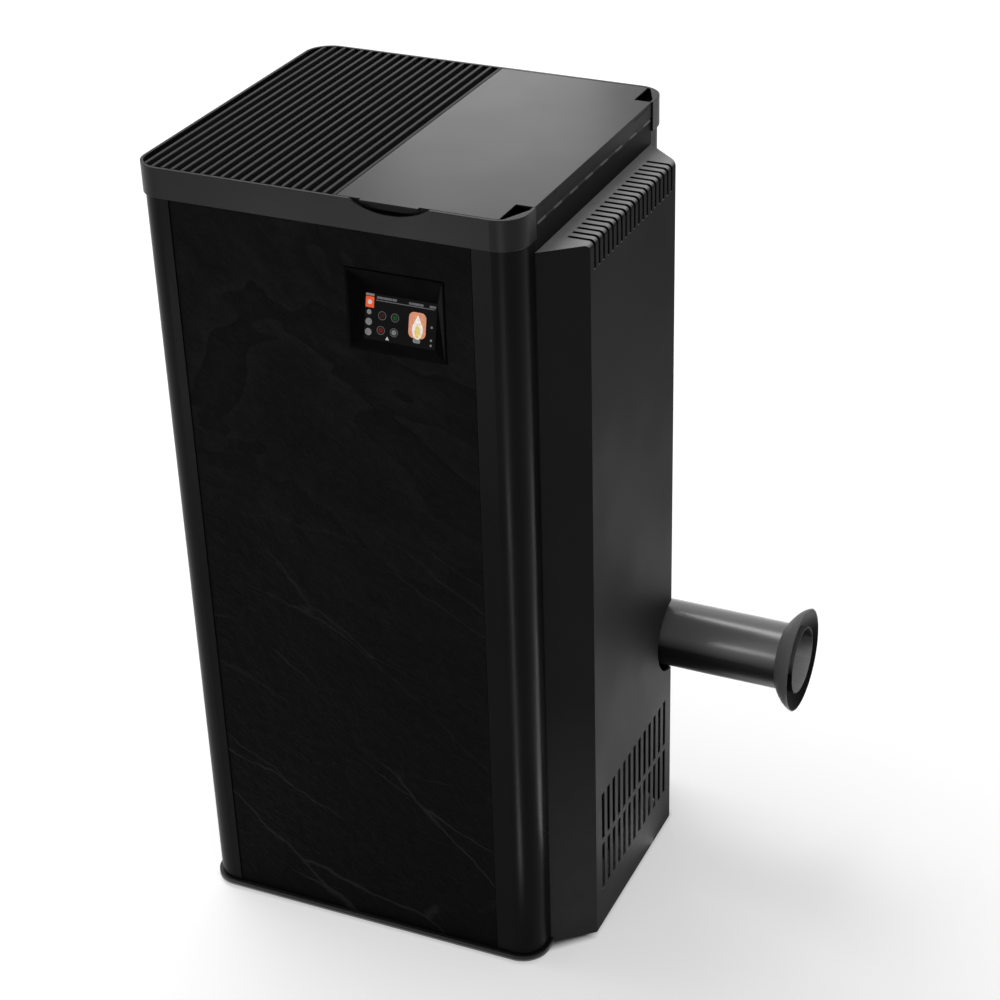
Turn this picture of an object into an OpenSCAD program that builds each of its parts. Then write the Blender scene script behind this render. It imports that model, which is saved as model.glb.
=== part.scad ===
// Pellet stove with stone side panels, ribbed top, rear hopper lid and a rear flue.
// Millimetres. +Z up, the fire door faces -Y, the touch display faces +X, the flue leaves towards +Y.
// The origin is on the floor under the middle of the casing.

/* [Overall size] */
// Width over the top frame
body_w = 506; // [480:1:540]
// Depth over the top frame, without the rear cover
body_d = 540; // [520:1:580]
// Height from the floor to the top of the lid
body_h = 1160; // [1150:1:1250]
// Plan radius of the top frame's corners
corner_r = 38; // [30:1:46]

/* [Base and feet] */
// Height of a foot pad, the gap under the base plate
foot_h = 6; // [4:1:12]
// Diameter of a foot pad
foot_d = 44; // [30:1:60]
// Diameter of a foot's threaded stem
stem_d = 10; // [8:1:12]
// Height of a foot's stem above its pad
stem_h = 36; // [30:1:50]
// Distance of a foot's axis from the base plate's edges
foot_inset = 52; // [45:1:70]
// Thickness of the base plate
base_t = 8; // [5:1:12]
// How far the base plate stands out beyond the top frame
base_lip = 2; // [0:0.5:5]

/* [Top frame] */
// Height of the band round the top
band_h = 41; // [36:1:50]
// How far the band stands out beyond the casing
band_step = 3; // [1:0.5:5]
// Wall of the band
band_t = 4; // [3:0.5:6]
// Width of the inner shelf that carries the top pieces
shelf_w = 12; // [8:1:16]
// Thickness of the inner shelf
shelf_t = 3; // [2:0.5:4]
// Depth of the shelf's upper face below the top
shelf_drop = 15; // [13:1:20]
// Width of the opening in the band behind the lid
rear_gap_w = 394; // [370:1:410]
// Width of the finger notch in the band
notch_w = 110; // [90:1:130]
// Depth of the finger notch
notch_depth = 15; // [10:1:18]
// Distance of the finger notch and the display behind the middle of the body
grip_y = 98; // [80:1:115]

/* [Ribbed top] */
// Number of ribs
rib_count = 20; // [10:1:24]
// Width of a rib
rib_w = 4.5; // [3:0.5:7]
// Thickness of the plate under the ribs
rib_plate_t = 4; // [3:0.5:6]
// Distance of the joint between ribbed top and lid behind the middle of the body
lid_front_y = 24; // [0:1:40]
// Gap between the pieces set into the top frame
top_gap = 1.2; // [0.8:0.1:2]

/* [Hopper lid] */
// Thickness of the lid's sheet
lid_t = 3; // [2:0.5:4]
// Height of the lid's rear flange
lid_flange_h = 21; // [16:1:26]
// Length of the lid's corner notches along Y
lid_notch_l = 25; // [14:1:26]
// Width of a hinge slot in the lid's rear fold
hinge_slot_w = 49; // [30:1:60]
// Distance of a hinge slot's middle from the lid's middle
hinge_slot_x = 155; // [110:1:160]
// Diameter of a knuckle of the lid's hinge
knuckle_d = 5; // [4:0.5:7]
// Diameter of the lid's hinge pin
lid_pin_d = 2.5; // [2:0.5:3.5]
// Number of knuckles along the lid's hinge
knuckle_count = 15; // [7:2:21]
// Width of the gasket
gasket_w = 12; // [8:1:16]

/* [Casing] */
// Thickness of the casing's sheet
sheet_t = 1.5; // [1:0.1:2]
// Thickness of a stone panel
stone_t = 12; // [8:1:16]
// Front edge of the stone panels, measured in front of the middle of the body
stone_front = 218; // [200:1:222]
// Rear edge of the stone panels, measured behind the middle of the body
stone_rear = 205; // [190:1:215]
// Gap round a stone panel
stone_gap = 1; // [0.5:0.1:2]
// How far a stone panel lies below the casing's flanks
stone_sink = 1; // [0:0.5:2]
// Width of a corner column beside the front opening
column_w = 48; // [43:1:53]

/* [Display] */
// Width of the display's bezel
bezel_w = 136; // [120:1:150]
// Height of the display's bezel
bezel_h = 111; // [96:1:120]
// Height of the bezel's middle below the top of the stove
bezel_drop = 150; // [130:1:200]
// Width of the touch screen
screen_w = 100; // [80:1:110]
// Height of the touch screen
screen_h = 60; // [50:1:66]
// Thickness of the touch screen
screen_t = 3; // [2:0.5:4]
// Depth of the screen's lower edge below the bezel's face
screen_depth = 5; // [2:0.5:6]
// Distance of the screen's middle below the bezel's middle
screen_drop = 13; // [8:1:16]
// Angle at which the screen leans back
screen_tilt = 13; // [5:1:15]

/* [Rear cover] */
// Depth of the rear cover
cover_d = 51; // [40:1:70]
// Half the width of the cover's rear face
cover_half_w = 150; // [130:1:165]
// Half the width of the cover where it meets the body
cover_root_half_w = 197; // [185:1:198]
// Depth of the cover's top below the top of the stove
cover_drop = 60; // [50:1:80]
// Height of the cover's lower edge above the floor
cover_z = 4; // [2:1:10]
// Radius of the fold along the cover's upper rear edge
cover_fold_r = 7; // [4:1:10]
// Number of slots over the cover's upper rear edge
top_slots = 19; // [8:1:20]
// Pitch of the upper slots
top_slot_pitch = 15; // [12:0.5:15]
// Width of an upper slot
top_slot_w = 6; // [4:0.5:8]
// Length of an upper slot in the cover's top
top_slot_run = 36; // [20:1:40]
// Length of an upper slot down the rear face
top_slot_fall = 38; // [20:1:60]
// Columns of the lower air grid
grid_columns = 13; // [5:1:13]
// Pitch of the lower air grid's columns
grid_pitch = 20.5; // [15:0.5:21]
// Width of a slot of the lower air grid
grid_slot_w = 10; // [6:0.5:12]
// Height of a slot of the lower air grid
grid_slot_h = 82; // [60:1:90]
// Height of the lower air grid's lower edge
grid_z = 67; // [50:1:90]
// Height of the bar between the two rows of the grid
grid_bar = 8.5; // [5:0.5:12]

/* [Flue] */
// Outer diameter of the flue pipe
flue_d = 100; // [80:1:110]
// Wall of the flue pipe
flue_t = 2; // [1.2:0.1:3]
// Distance of the flue's axis from the body's hidden side
flue_in = 98; // [93:1:113]
// Height of the flue's axis above the floor
flue_z = 346; // [335:1:370]
// Distance of the flue's end behind the middle of the body
flue_end_y = 526; // [450:1:560]
// Diameter of the hole round the flue in the rear cover
flue_hole_d = 120; // [114:1:130]
// Outer diameter of the wall rosette
rosette_d = 155; // [130:1:180]
// Length of the rosette's domed wall along the pipe
rosette_l = 28; // [18:1:40]
// Length of the rosette's collar on the pipe, inside the dome
rosette_collar = 10; // [6:1:14]
// Wall of the rosette
rosette_t = 1.5; // [1:0.1:2.5]

/* [Firebox] */
// Width of the firebox outside
firebox_w = 372; // [340:1:380]
// Sheet of the firebox
firebox_t = 3; // [2:0.5:4]
// Height of the firebox floor above the stove's floor
firebox_z = 402; // [402:1:420]
// Distance of the firebox's top below the top frame
firebox_drop = 29; // [27:1:57]
// Distance of the firebox back in front of the middle of the body
firebox_back = 22; // [20:1:40]
// Width of the ash opening in the firebox floor
ash_hole_w = 230; // [160:1:240]
// Length of the ash opening in the firebox floor
ash_hole_l = 110; // [80:1:120]
// Thickness of the firebox liners
liner_t = 14; // [10:1:20]
// Distance of the liners' upper ends below the baffle
liner_drop = 27; // [17:1:60]
// Number of flutes in the rear liner
flute_count = 11; // [5:1:15]
// Distance of the baffle below the firebox's top
baffle_drop = 188; // [168:1:198]
// Thickness of the baffle
baffle_t = 10; // [6:1:14]
// Diameter of an exchanger tube
tube_d = 42; // [30:1:44]
// Number of exchanger tubes
tube_count = 5; // [3:1:6]
// Distance of the exchanger tubes' axes below the firebox's top
tube_drop = 52; // [48:1:68]

/* [Burn pot] */
// Length of the burn pot's mouth along X
pot_w = 124; // [90:1:130]
// Length of the burn pot's mouth along Y
pot_d = 96; // [80:1:100]
// Depth of the burn pot
pot_h = 78; // [60:1:90]
// Wall of the burn pot
pot_t = 6; // [4:0.5:8]
// Height of the burn pot's rim above the firebox floor
pot_rim_up = 118; // [104:1:130]
// Diameter of an air hole in the burn pot's floor
pot_hole_d = 6; // [4:0.5:8]
// Columns of air holes in the burn pot's floor
pot_columns = 5; // [3:1:6]
// Rows of air holes in the burn pot's floor
pot_rows = 4; // [2:1:4]

/* [Fire door] */
// Gap between the fire door and the corner columns
door_gap = 2.5; // [2:0.5:7]
// Lower edge of the fire door above the floor
door_z = 401; // [400:1:404]
// Height of the warm-air panel above the fire door
air_panel_h = 116; // [114:1:150]
// Thickness of the fire door's frame
door_t = 28; // [24:1:30]
// Width of the frame round the window
door_rim = 40; // [30:1:50]
// Radius of the window's corners
window_r = 14; // [6:1:24]
// Thickness of the door's glass
glass_t = 5; // [4:0.5:6]
// How far the glass reaches behind the frame
glass_lap = 9; // [6:1:12]
// Distance between the clips that hold the glass
clip_pitch = 170; // [120:1:200]
// Diameter of the door's rope seal
seal_d = 8; // [6:0.5:10]
// Diameter of the door's hinge pins
hinge_pin_d = 6; // [5:0.5:8]
// Distance of the hinge axis from the door's edges
hinge_in = 5; // [4.5:0.5:6]
// Length of a hinge pin in the door
hinge_pin_l = 24; // [16:1:40]
// Length of the door's pull bar
handle_l = 180; // [120:1:300]
// Diameter of the pull bar
handle_d = 12; // [10:0.5:14]
// Diameter of the pull bar's two posts
handle_post_d = 8; // [6:0.5:10]
// Room for fingers behind the pull bar
handle_stand = 28; // [18:1:40]

/* [Lower front] */
// Lower edge of the ash drawer's front
drawer_front_z = 299; // [280:1:305]
// Thickness of the drawer's and the lower panel's fronts
front_t = 16; // [10:1:20]
// Width of the ash drawer
drawer_w = 260; // [200:1:270]
// Length of the ash drawer behind its front
drawer_l = 200; // [150:1:205]
// Height of the ash drawer
drawer_h = 78; // [50:1:80]
// Sheet of the ash drawer
drawer_t = 1.5; // [1:0.1:2.5]
// Diameter of the drawer's knob
knob_d = 28; // [20:1:34]
// Gap between neighbouring front pieces
front_gap = 2; // [1.5:0.5:3]
// Number of slots in the warm-air panel
air_slots = 14; // [6:1:16]
// Rows of slots in the warm-air panel
air_rows = 3; // [1:1:3]

/* [Pellet feed] */
// Width of the hopper's mouth
hopper_w = 400; // [300:1:410]
// Length of the hopper's mouth along Y
hopper_l = 168; // [140:1:172]
// Distance of the hopper's mouth behind the lid's front edge
hopper_in = 26; // [20:1:30]
// Height of the funnel's lower end above the auger's lower end
neck_up = 114; // [110:1:120]
// Depth of the hopper's funnel
hopper_funnel_h = 196; // [180:1:200]
// Sheet of the hopper
hopper_t = 1.5; // [1:0.1:2]
// Diameter of the auger tube outside
auger_d = 62; // [56:1:66]
// Wall of the auger tube
auger_t = 2; // [1.5:0.5:3]
// Length of the auger tube
auger_l = 240; // [236:1:250]
// Angle of the auger tube above the horizontal
auger_rise = 45; // [42:1:48]
// Height of the auger tube's lower end above the floor
auger_z = 608; // [604:1:612]
// Distance of the auger tube's lower end behind the middle of the body
auger_y = 172; // [170:1:176]
// Diameter of the auger's shaft
shaft_d = 16; // [12:1:20]
// Thickness of the auger's flight
flight_t = 3; // [2:0.5:4]
// Turns of the auger's flight
flight_turns = 6; // [4:1:8]
// Clearance of the auger's flight in its tube
flight_gap = 1.5; // [1:0.1:2.5]
// Side of the square pellet chute
chute_w = 54; // [46:1:60]

/* [Fans and electrics] */
// Diameter of the exhaust fan's wheel
exhaust_wheel_d = 120; // [100:1:124]
// Number of blades of the exhaust fan's wheel
exhaust_blades = 8; // [5:1:12]
// Width of the exhaust fan's housing
exhaust_w = 62; // [50:1:64]
// Diameter of the exhaust motor
exhaust_motor_d = 76; // [60:1:80]
// Length of the exhaust motor
exhaust_motor_l = 40; // [30:1:44]
// Diameter of the room fan's wheel
room_wheel_d = 62; // [50:1:66]
// Length of the room fan's wheel
room_wheel_l = 190; // [150:1:200]
// Number of blades of the room fan's wheel
room_blades = 18; // [12:1:24]
// Diameter of the combustion air pipe
air_pipe_d = 60; // [50:1:62]
// Length of the control board along Y
board_l = 160; // [120:1:170]
// Height of the control board
board_h = 180; // [140:1:200]
// Height of the control board's lower edge above the floor
board_foot = 300; // [250:1:340]
// Length of the studs that hold the control board off the casing
board_stand = 8; // [6:1:12]
// Length of the rocker switch
rocker_l = 20; // [16:1:24]
// Width of the rocker switch
rocker_w = 12; // [10:1:14]
// Diameter of the safety thermostat's button
button_d = 7; // [6:0.5:9]

/* [Clearances] */
// Radial clearance of a pin or shaft in its bore
running_gap = 0.05; // [0.03:0.01:0.09]
// Gap at a seat that moves or lifts off
seat_gap = 0.3; // [0.2:0.1:0.5]

/* [Hidden] */

// Sliver that lets a cut run past a face
cut = 0.5;
half_w = body_w / 2;
half_d = body_d / 2;
plate_z = foot_h + base_t;
case_half_w = half_w - band_step;
case_half_d = half_d - band_step;
case_r = corner_r - band_step;
case_top = body_h - band_h;
front_half_w = half_w - column_w;
door_half_w = front_half_w - door_gap;
inner_half_w = half_w - band_t;
inner_half_d = half_d - band_t;
inner_r = corner_r - band_t;
shelf_z = body_h - shelf_drop;

// Stone recess in a side casing
stone_x0 = case_half_w - stone_sink - stone_t;
stone_x1 = case_half_w - stone_sink;

// Rear cover
cover_y0 = case_half_d;
cover_y1 = half_d + cover_d;
cover_z1 = body_h - cover_drop;
cover_slant = atan2(cover_root_half_w - cover_half_w, cover_y1 - cover_y0);

// Lid and its hinge
lid_rear_y = half_d - 2;
lid_half_w = inner_half_w - top_gap;
lid_rear_half_w = rear_gap_w / 2 - 1;
lid_notch_y = lid_rear_y - lid_notch_l;
knuckle_r = knuckle_d / 2;
lid_pin_r = lid_pin_d / 2;
lid_axis_y = lid_rear_y - lid_t / 2;
lid_axis_z = body_h - lid_flange_h - knuckle_r - seat_gap;
lid_z0 = body_h - lid_t;
lid_frame_t = 1.7;
hinge_l = 2 * lid_rear_half_w - 12;
knuckle_pitch = hinge_l / knuckle_count;
knuckle_gap = 0.4;

// Room behind the front opening
front_y = -case_half_d;
hinge_x = door_half_w - hinge_in;
hinge_y = front_y + hinge_in;
hinge_notch = 10;
door_y1 = front_y + door_t;
frame_y = door_y1 + 3;
frame_t = 3;
door_top = case_top - 1 - air_panel_h - front_gap;
door_h = door_top - door_z;

// Firebox
box_y0 = frame_y + frame_t;
box_y1 = -firebox_back;
box_top = case_top - firebox_drop;
baffle_z = box_top - baffle_drop;
liner_h = baffle_z - liner_drop - firebox_z - firebox_t;
wall_y = lid_front_y - 16;
wall_t = 2;
tube_z = box_top - tube_drop;

// Burn pot
pot_y = (box_y0 + box_y1) / 2 + 6;
drawer_z0 = drawer_front_z + 5;
pot_z1 = firebox_z + pot_rim_up;
pot_z0 = pot_z1 - pot_h;

pot_flange_t = 8;
air_pipe_z = firebox_z + firebox_t + air_pipe_d / 2 + 13;
igniter_x = 44;
igniter_z = pot_z0 + 14;
sensor_x = -44;
sensor_z = baffle_z - 100;
smoke_mouth_z0 = baffle_z + baffle_t + 16;
smoke_mouth_z1 = smoke_mouth_z0 + 60;

// Flue and exhaust fan
flue_r = flue_d / 2;
fan_x = flue_in - half_w;
fan_outlet_h = flue_d - 30;
fan_y = 142;
fan_z = flue_z - exhaust_wheel_d / 2 - 22;
fan_x0 = fan_x - exhaust_w / 2;
fan_x1 = fan_x + exhaust_w / 2;
fan_scroll_r0 = exhaust_wheel_d / 2 + 8;
fan_scroll_r1 = flue_z - fan_z + fan_outlet_h / 2;
fan_out = 60;
fan_shell = 3;
collar_y0 = fan_y + fan_out;
collar_r = flue_r + seat_gap;
collar_t = 2.5;
collar_l = 48;
flue_seat = 6;
exhaust_shaft_r = 4;

// Smoke duct between the firebox and the fire wall, and its collector behind
duct_x0 = 60;
duct_x1 = firebox_w / 2 - 10;
collector_x0 = fan_x1;
collector_x1 = collector_x0 + 94;
collector_z0 = fan_z - 50;
collector_z1 = fan_z + 50;
collector_y1 = fan_y + 50;

// Room fan
room_x0 = 10;
room_w = room_wheel_l + 14;
room_y = 92;
room_z = plate_z + 52;
room_scroll_r0 = room_wheel_d / 2 + 5;
room_scroll_r1 = room_scroll_r0 + 24;
room_outlet_z0 = room_z + room_scroll_r0 * sin(60);
room_outlet_z1 = room_z + room_scroll_r1;
room_shaft_r = 3;

// Pellet auger and chute
auger_r = auger_d / 2;
flight_r = auger_r - auger_t - flight_gap;
shaft_r = shaft_d / 2;
auger_top_z = auger_z + auger_l * sin(auger_rise);
chute_head_z0 = auger_top_z - 57;
chute_head_z1 = auger_top_z + 53;
chute_mouth_z0 = chute_head_z0 - 46;
chute_mouth_z1 = chute_head_z0 + 62;
neck_y0 = auger_y - 54;
neck_y1 = auger_y + 6;
neck_half_w = 30;

// Things on the rear cover's hidden slant
mains_z = 150;
mains_w = 27;
mains_h = 47;
thermostat_z = 235;
thermostat_r = 8;
rocker_pin_r = 1.5;
rocker_axis_x = -3;
rocker_tilt = 8;
rocker_z = 11;

// Hopper
hopper_y0 = lid_front_y + hopper_in;
hopper_y1 = hopper_y0 + hopper_l;
hopper_z1 = shelf_z + shelf_t;
funnel_z0 = auger_z + neck_up;
hopper_z0 = funnel_z0 + hopper_funnel_h;

// Display
display_z = body_h - bezel_drop;
screen_x = stone_x1 + 1 - screen_depth - screen_h / 2 * sin(screen_tilt);

// A box between two opposite corners
module block(low, high) {
    translate(low) cube(high - low);
}

// A rectangle with round corners, centred
module rounded(w, d, r) {
    square([w - 2 * r, d], center = true);
    square([w, d - 2 * r], center = true);
    for (sx = [-1, 1], sy = [-1, 1])
        translate([sx * (w / 2 - r), sy * (d / 2 - r)]) circle(r, $fn = 64);
}

// A rounded rectangle with a hollow of its own shape
module rounded_ring(w, d, r, t) {
    difference() {
        rounded(w, d, r);
        rounded(w - 2 * t, d - 2 * t, r - t);
    }
}

// A cylinder along Y from y0 to y1
module rod_y(x, z, r, y0, y1, fn = 48) {
    translate([x, y0, z]) rotate([-90, 0, 0]) cylinder(h = y1 - y0, r = r, $fn = fn);
}

// A cylinder along X from x0 to x1
module rod_x(y, z, r, x0, x1, fn = 48) {
    translate([x0, y, z]) rotate([0, 90, 0]) cylinder(h = x1 - x0, r = r, $fn = fn);
}

module base_plate() {
    w = body_w + 2 * base_lip;
    d = body_d + 2 * base_lip;
    color([0.16, 0.16, 0.17]) difference() {
        translate([0, 0, foot_h]) linear_extrude(base_t) rounded(w, d, corner_r + base_lip);
        foot_places() translate([0, 0, -cut]) cylinder(h = 80, r = stem_d / 2 + running_gap, $fn = 32);
        // The rear edge ends flush with the casing behind the rear cover
        block([-cover_root_half_w, case_half_d, 0], [cover_root_half_w, body_d, plate_z + cut]);
    }
}

module foot_places() {
    for (sx = [-1, 1], sy = [-1, 1])
        translate([sx * (half_w + base_lip - foot_inset), sy * (half_d + base_lip - foot_inset), 0])
            children();
}

module levelling_feet() {
    nut_h = 6;
    color([0.2, 0.2, 0.21]) foot_places() {
        cylinder(h = foot_h * 0.6, r = foot_d / 2, $fn = 48);
        translate([0, 0, foot_h * 0.6])
            cylinder(h = foot_h * 0.4, r1 = foot_d / 2, r2 = foot_d / 2 - 3, $fn = 48);
        translate([0, 0, foot_h / 2]) cylinder(h = stem_h, r = stem_d / 2, $fn = 32);
        translate([0, 0, plate_z]) cylinder(h = nut_h, r = stem_d, $fn = 6);
    }
}

// Plan of the folded sheet that forms two corner columns and the stone's recess
module side_profile() {
    r0 = stone_front + stone_gap;
    r1 = stone_rear + stone_gap;
    difference() {
        rounded_ring(2 * case_half_w, 2 * case_half_d, case_r, sheet_t);
        translate([-2 * half_w, -2 * half_d]) square([2 * half_w, 4 * half_d]);
        translate([-1, -2 * half_d]) square([front_half_w + 1, 2 * half_d]);
        translate([-1, 0]) square([cover_root_half_w + 1, 2 * half_d]);
        translate([case_half_w - 2 * sheet_t, -r0]) square([4 * sheet_t, r0 + r1]);
    }
    difference() {
        translate([stone_x0 - sheet_t, -r0 - sheet_t])
            square([case_half_w - stone_x0 + sheet_t, r0 + r1 + 2 * sheet_t]);
        translate([stone_x0, -r0]) square([stone_t + stone_sink + 1, r0 + r1]);
    }
}

module side_casing() {
    translate([0, 0, plate_z]) linear_extrude(case_top - plate_z) side_profile();
}

module side_casing_right() {
    color([0.13, 0.13, 0.14]) difference() {
        side_casing();
        // Opening for the display's housing
        block([stone_x0 - 2 * sheet_t, grip_y - bezel_w / 2 + 8, display_z - bezel_h / 2 + 8],
            [stone_x0 + cut, grip_y + bezel_w / 2 - 8, display_z + bezel_h / 2 - 8]);
    }
}

module side_casing_left() {
    color([0.13, 0.13, 0.14]) difference() {
        mirror([1, 0, 0]) side_casing();
        flue_way();
    }
}

// Hole in the back of the body for the flue pipe
module flue_way() {
    rod_y(fan_x, flue_z, flue_r + 4, half_d - 30, half_d + 30);
}

module stone_slab() {
    block([stone_x0, -stone_front, plate_z + stone_gap], [stone_x1, stone_rear, case_top - stone_gap]);
}

module stone_panel_right() {
    color([0.1, 0.1, 0.11]) difference() {
        stone_slab();
        block([stone_x0 - cut, grip_y - bezel_w / 2 - 1, display_z - bezel_h / 2 - 1],
            [stone_x1 + cut, grip_y + bezel_w / 2 + 1, display_z + bezel_h / 2 + 1]);
    }
}

module stone_panel_left() {
    color([0.1, 0.1, 0.11]) mirror([1, 0, 0]) stone_slab();
}

module top_frame() {
    gap_half = rear_gap_w / 2;
    notch_r = (pow(notch_w / 2, 2) + pow(notch_depth, 2)) / (2 * notch_depth);
    color([0.2, 0.2, 0.21]) difference() {
        union() {
            translate([0, 0, case_top]) linear_extrude(band_h)
                rounded_ring(body_w, body_d, corner_r, band_t);
            translate([0, 0, case_top]) linear_extrude(shelf_t)
                rounded_ring(body_w, body_d, corner_r, band_t + shelf_w);
            translate([0, 0, shelf_z - shelf_t]) linear_extrude(shelf_t)
                rounded_ring(body_w, body_d, corner_r, band_t + shelf_w);
            // Flat corner gussets beside the lid
            translate([0, 0, body_h - shelf_t]) linear_extrude(shelf_t) intersection() {
                rounded(body_w - 1, body_d - 1, corner_r - 0.5);
                for (s = [-1, 1]) polygon([
                    [s * inner_half_w, inner_half_d - 20],
                    [s * (gap_half + 9), inner_half_d],
                    [s * (gap_half + 9), body_d],
                    [s * body_w, body_d],
                    [s * body_w, inner_half_d - 20]
                ]);
            }
        }
        // Opening behind the lid
        block([-gap_half, inner_half_d - shelf_w - 1, case_top - cut], [gap_half, body_d, body_h + cut]);
        // Finger notch
        rod_x(grip_y, body_h - notch_depth + notch_r, notch_r, inner_half_w - 1, half_w + 1, 128);
    }
}

// Plan of all that is set into the top frame
module top_plan() {
    rounded(2 * (inner_half_w - top_gap), 2 * (inner_half_d - top_gap), inner_r - top_gap);
}

module ribbed_top() {
    w = inner_half_w;
    y0 = -inner_half_d + top_gap;
    y1 = lid_front_y - top_gap / 2;
    pitch = (y1 - y0) / rib_count;
    rib_z = shelf_z + rib_plate_t;
    color([0.2, 0.2, 0.21]) intersection() {
        translate([0, 0, shelf_z]) linear_extrude(shelf_drop) top_plan();
        union() {
            block([-w, y0 - cut, shelf_z], [w, y1, rib_z]);
            for (i = [1:rib_count]) let (y = y0 + i * pitch - rib_w)
                block([-w, y, rib_z - cut], [w, y + rib_w, body_h + cut]);
        }
    }
}

module rear_panel() {
    color([0.13, 0.13, 0.14]) difference() {
        block([-cover_root_half_w + 1, case_half_d - sheet_t, plate_z],
            [cover_root_half_w - 1, case_half_d, lid_axis_z - knuckle_r - 0.5]);
        flue_way();
        // Air opening behind the lower grid
        block([-60, half_d - 30, plate_z + 30], [cover_half_w - 10, half_d + 30, grid_z + 2 * grid_slot_h]);
    }
}

// Plan of the rear cover, drawn in by t on its three outer sides
module cover_plan(t) {
    side = t / cos(cover_slant);
    shift = t * tan(cover_slant);
    back = t > 0 ? 1 : 0;
    root_x = cover_root_half_w - side + back * tan(cover_slant);
    polygon([
        [root_x, cover_y0 - back],
        [cover_half_w - side + shift, cover_y1 - t],
        [-cover_half_w + side - shift, cover_y1 - t],
        [-root_x, cover_y0 - back]
    ]);
}

// The cover's block with its folded upper rear edge, drawn in by t
module cover_block(t) {
    r = cover_fold_r - t;
    intersection() {
        translate([0, 0, cover_z - (t > 0 ? 1 : 0)])
            linear_extrude(cover_z1 - cover_z - (t > 0 ? t - 1 : 0)) cover_plan(t);
        union() {
            block([-body_w, 0, 0], [body_w, cover_y1 - cover_fold_r, cover_z1 + cut]);
            block([-body_w, 0, 0], [body_w, body_d, cover_z1 - cover_fold_r]);
            rod_x(cover_y1 - cover_fold_r, cover_z1 - cover_fold_r, r, -body_w, body_w, 64);
        }
    }
}

// Slots over the cover's upper rear edge
module cover_slots() {
    x0 = -((top_slots - 1) * top_slot_pitch + top_slot_w) / 2;
    for (i = [0:top_slots - 1]) translate([x0 + i * top_slot_pitch, 0, 0])
        block([0, cover_y1 - top_slot_run, cover_z1 - top_slot_fall], [top_slot_w, body_d, cover_z1 + cut]);
}

// Two rows of upright slots low in the cover's rear face
module cover_grid() {
    x0 = -((grid_columns - 1) * grid_pitch + grid_slot_w) / 2;
    for (i = [0:grid_columns - 1], z = [grid_z, grid_z + grid_slot_h + grid_bar])
        translate([x0 + i * grid_pitch, 0, z])
            block([0, cover_y1 - 2 * sheet_t, 0], [grid_slot_w, body_d, grid_slot_h]);
}

module rear_cover() {
    flange_w = 15;
    color([0.15, 0.15, 0.16]) difference() {
        union() {
            difference() {
                cover_block(0);
                cover_block(sheet_t);
            }
            // Flanges that lie on the back of the body
            for (s = [0, 1]) mirror([s, 0, 0])
                block([cover_root_half_w - 1 - flange_w, cover_y0, cover_z + 20],
                    [cover_root_half_w - 1, cover_y0 + sheet_t, cover_z1 - 20]);
        }
        cover_slots();
        cover_grid();
        rod_y(fan_x, flue_z, flue_hole_d / 2, cover_y0 - cut, body_d, 96);
        chamfer_frame(mains_z) block([-5, -mains_w / 2, -mains_h / 2], [5, mains_w / 2, mains_h / 2]);
        slant_rod(thermostat_z, thermostat_r + 0.2, -5, 5);
    }
}

// Stands on the hidden slant of the rear cover: x points outwards, y along the slant
module chamfer_frame(z) {
    translate([-(cover_root_half_w + cover_half_w) / 2, (cover_y0 + cover_y1) / 2, z])
        rotate([0, 0, 180 - cover_slant]) children();
}

module front_frame() {
    mouth_half_w = firebox_w / 2 - 14;
    drawer_half_w = drawer_w / 2 + 4;
    color([0.11, 0.11, 0.12]) difference() {
        block([-stone_x0 + sheet_t + 1, frame_y, plate_z],
            [stone_x0 - sheet_t - 1, frame_y + frame_t, case_top - 1]);
        block([-mouth_half_w, frame_y - cut, firebox_z + 40],
            [mouth_half_w, frame_y + frame_t + cut, door_top - 30]);
        block([-drawer_half_w, frame_y - cut, drawer_front_z + 2],
            [drawer_half_w, frame_y + frame_t + cut, drawer_z0 + drawer_h + 4]);
        for (i = [0:tube_count - 1])
            rod_y(tube_x(i), tube_z, tube_d / 2, frame_y - cut, frame_y + frame_t + cut);
    }
}

// Front sheet between two heights, with the four edges folded back to the frame
module folded_front(z0, z1) {
    difference() {
        block([-door_half_w, front_y, z0], [door_half_w, frame_y, z1]);
        block([2 - door_half_w, front_y + 2, z0 + 2], [door_half_w - 2, frame_y + cut, z1 - 2]);
    }
}

module lower_front_panel() {
    color([0.13, 0.13, 0.14]) folded_front(plate_z + 1, drawer_front_z - front_gap);
}

module warm_air_panel() {
    z0 = door_top + front_gap;
    z1 = case_top - 1;
    slot_w = (2 * door_half_w - 40) / air_slots;
    row_h = (z1 - z0 - 16) / air_rows;
    color([0.13, 0.13, 0.14]) difference() {
        folded_front(z0, z1);
        for (i = [0:air_slots - 1], j = [0:air_rows - 1])
            translate([-door_half_w + 20 + i * slot_w, front_y, z0 + 8 + j * row_h])
                block([3, -cut, 5], [slot_w - 3, 2 + cut, row_h - 5]);
    }
}

function tube_x(i) = (i - (tube_count - 1) / 2) * (firebox_w - 40) / tube_count;

// Axis of the pellet auger: z of this frame runs up the tube from its lower end
module auger_frame() {
    translate([0, auger_y, auger_z]) rotate([90 - auger_rise, 0, 0]) children();
}

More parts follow.
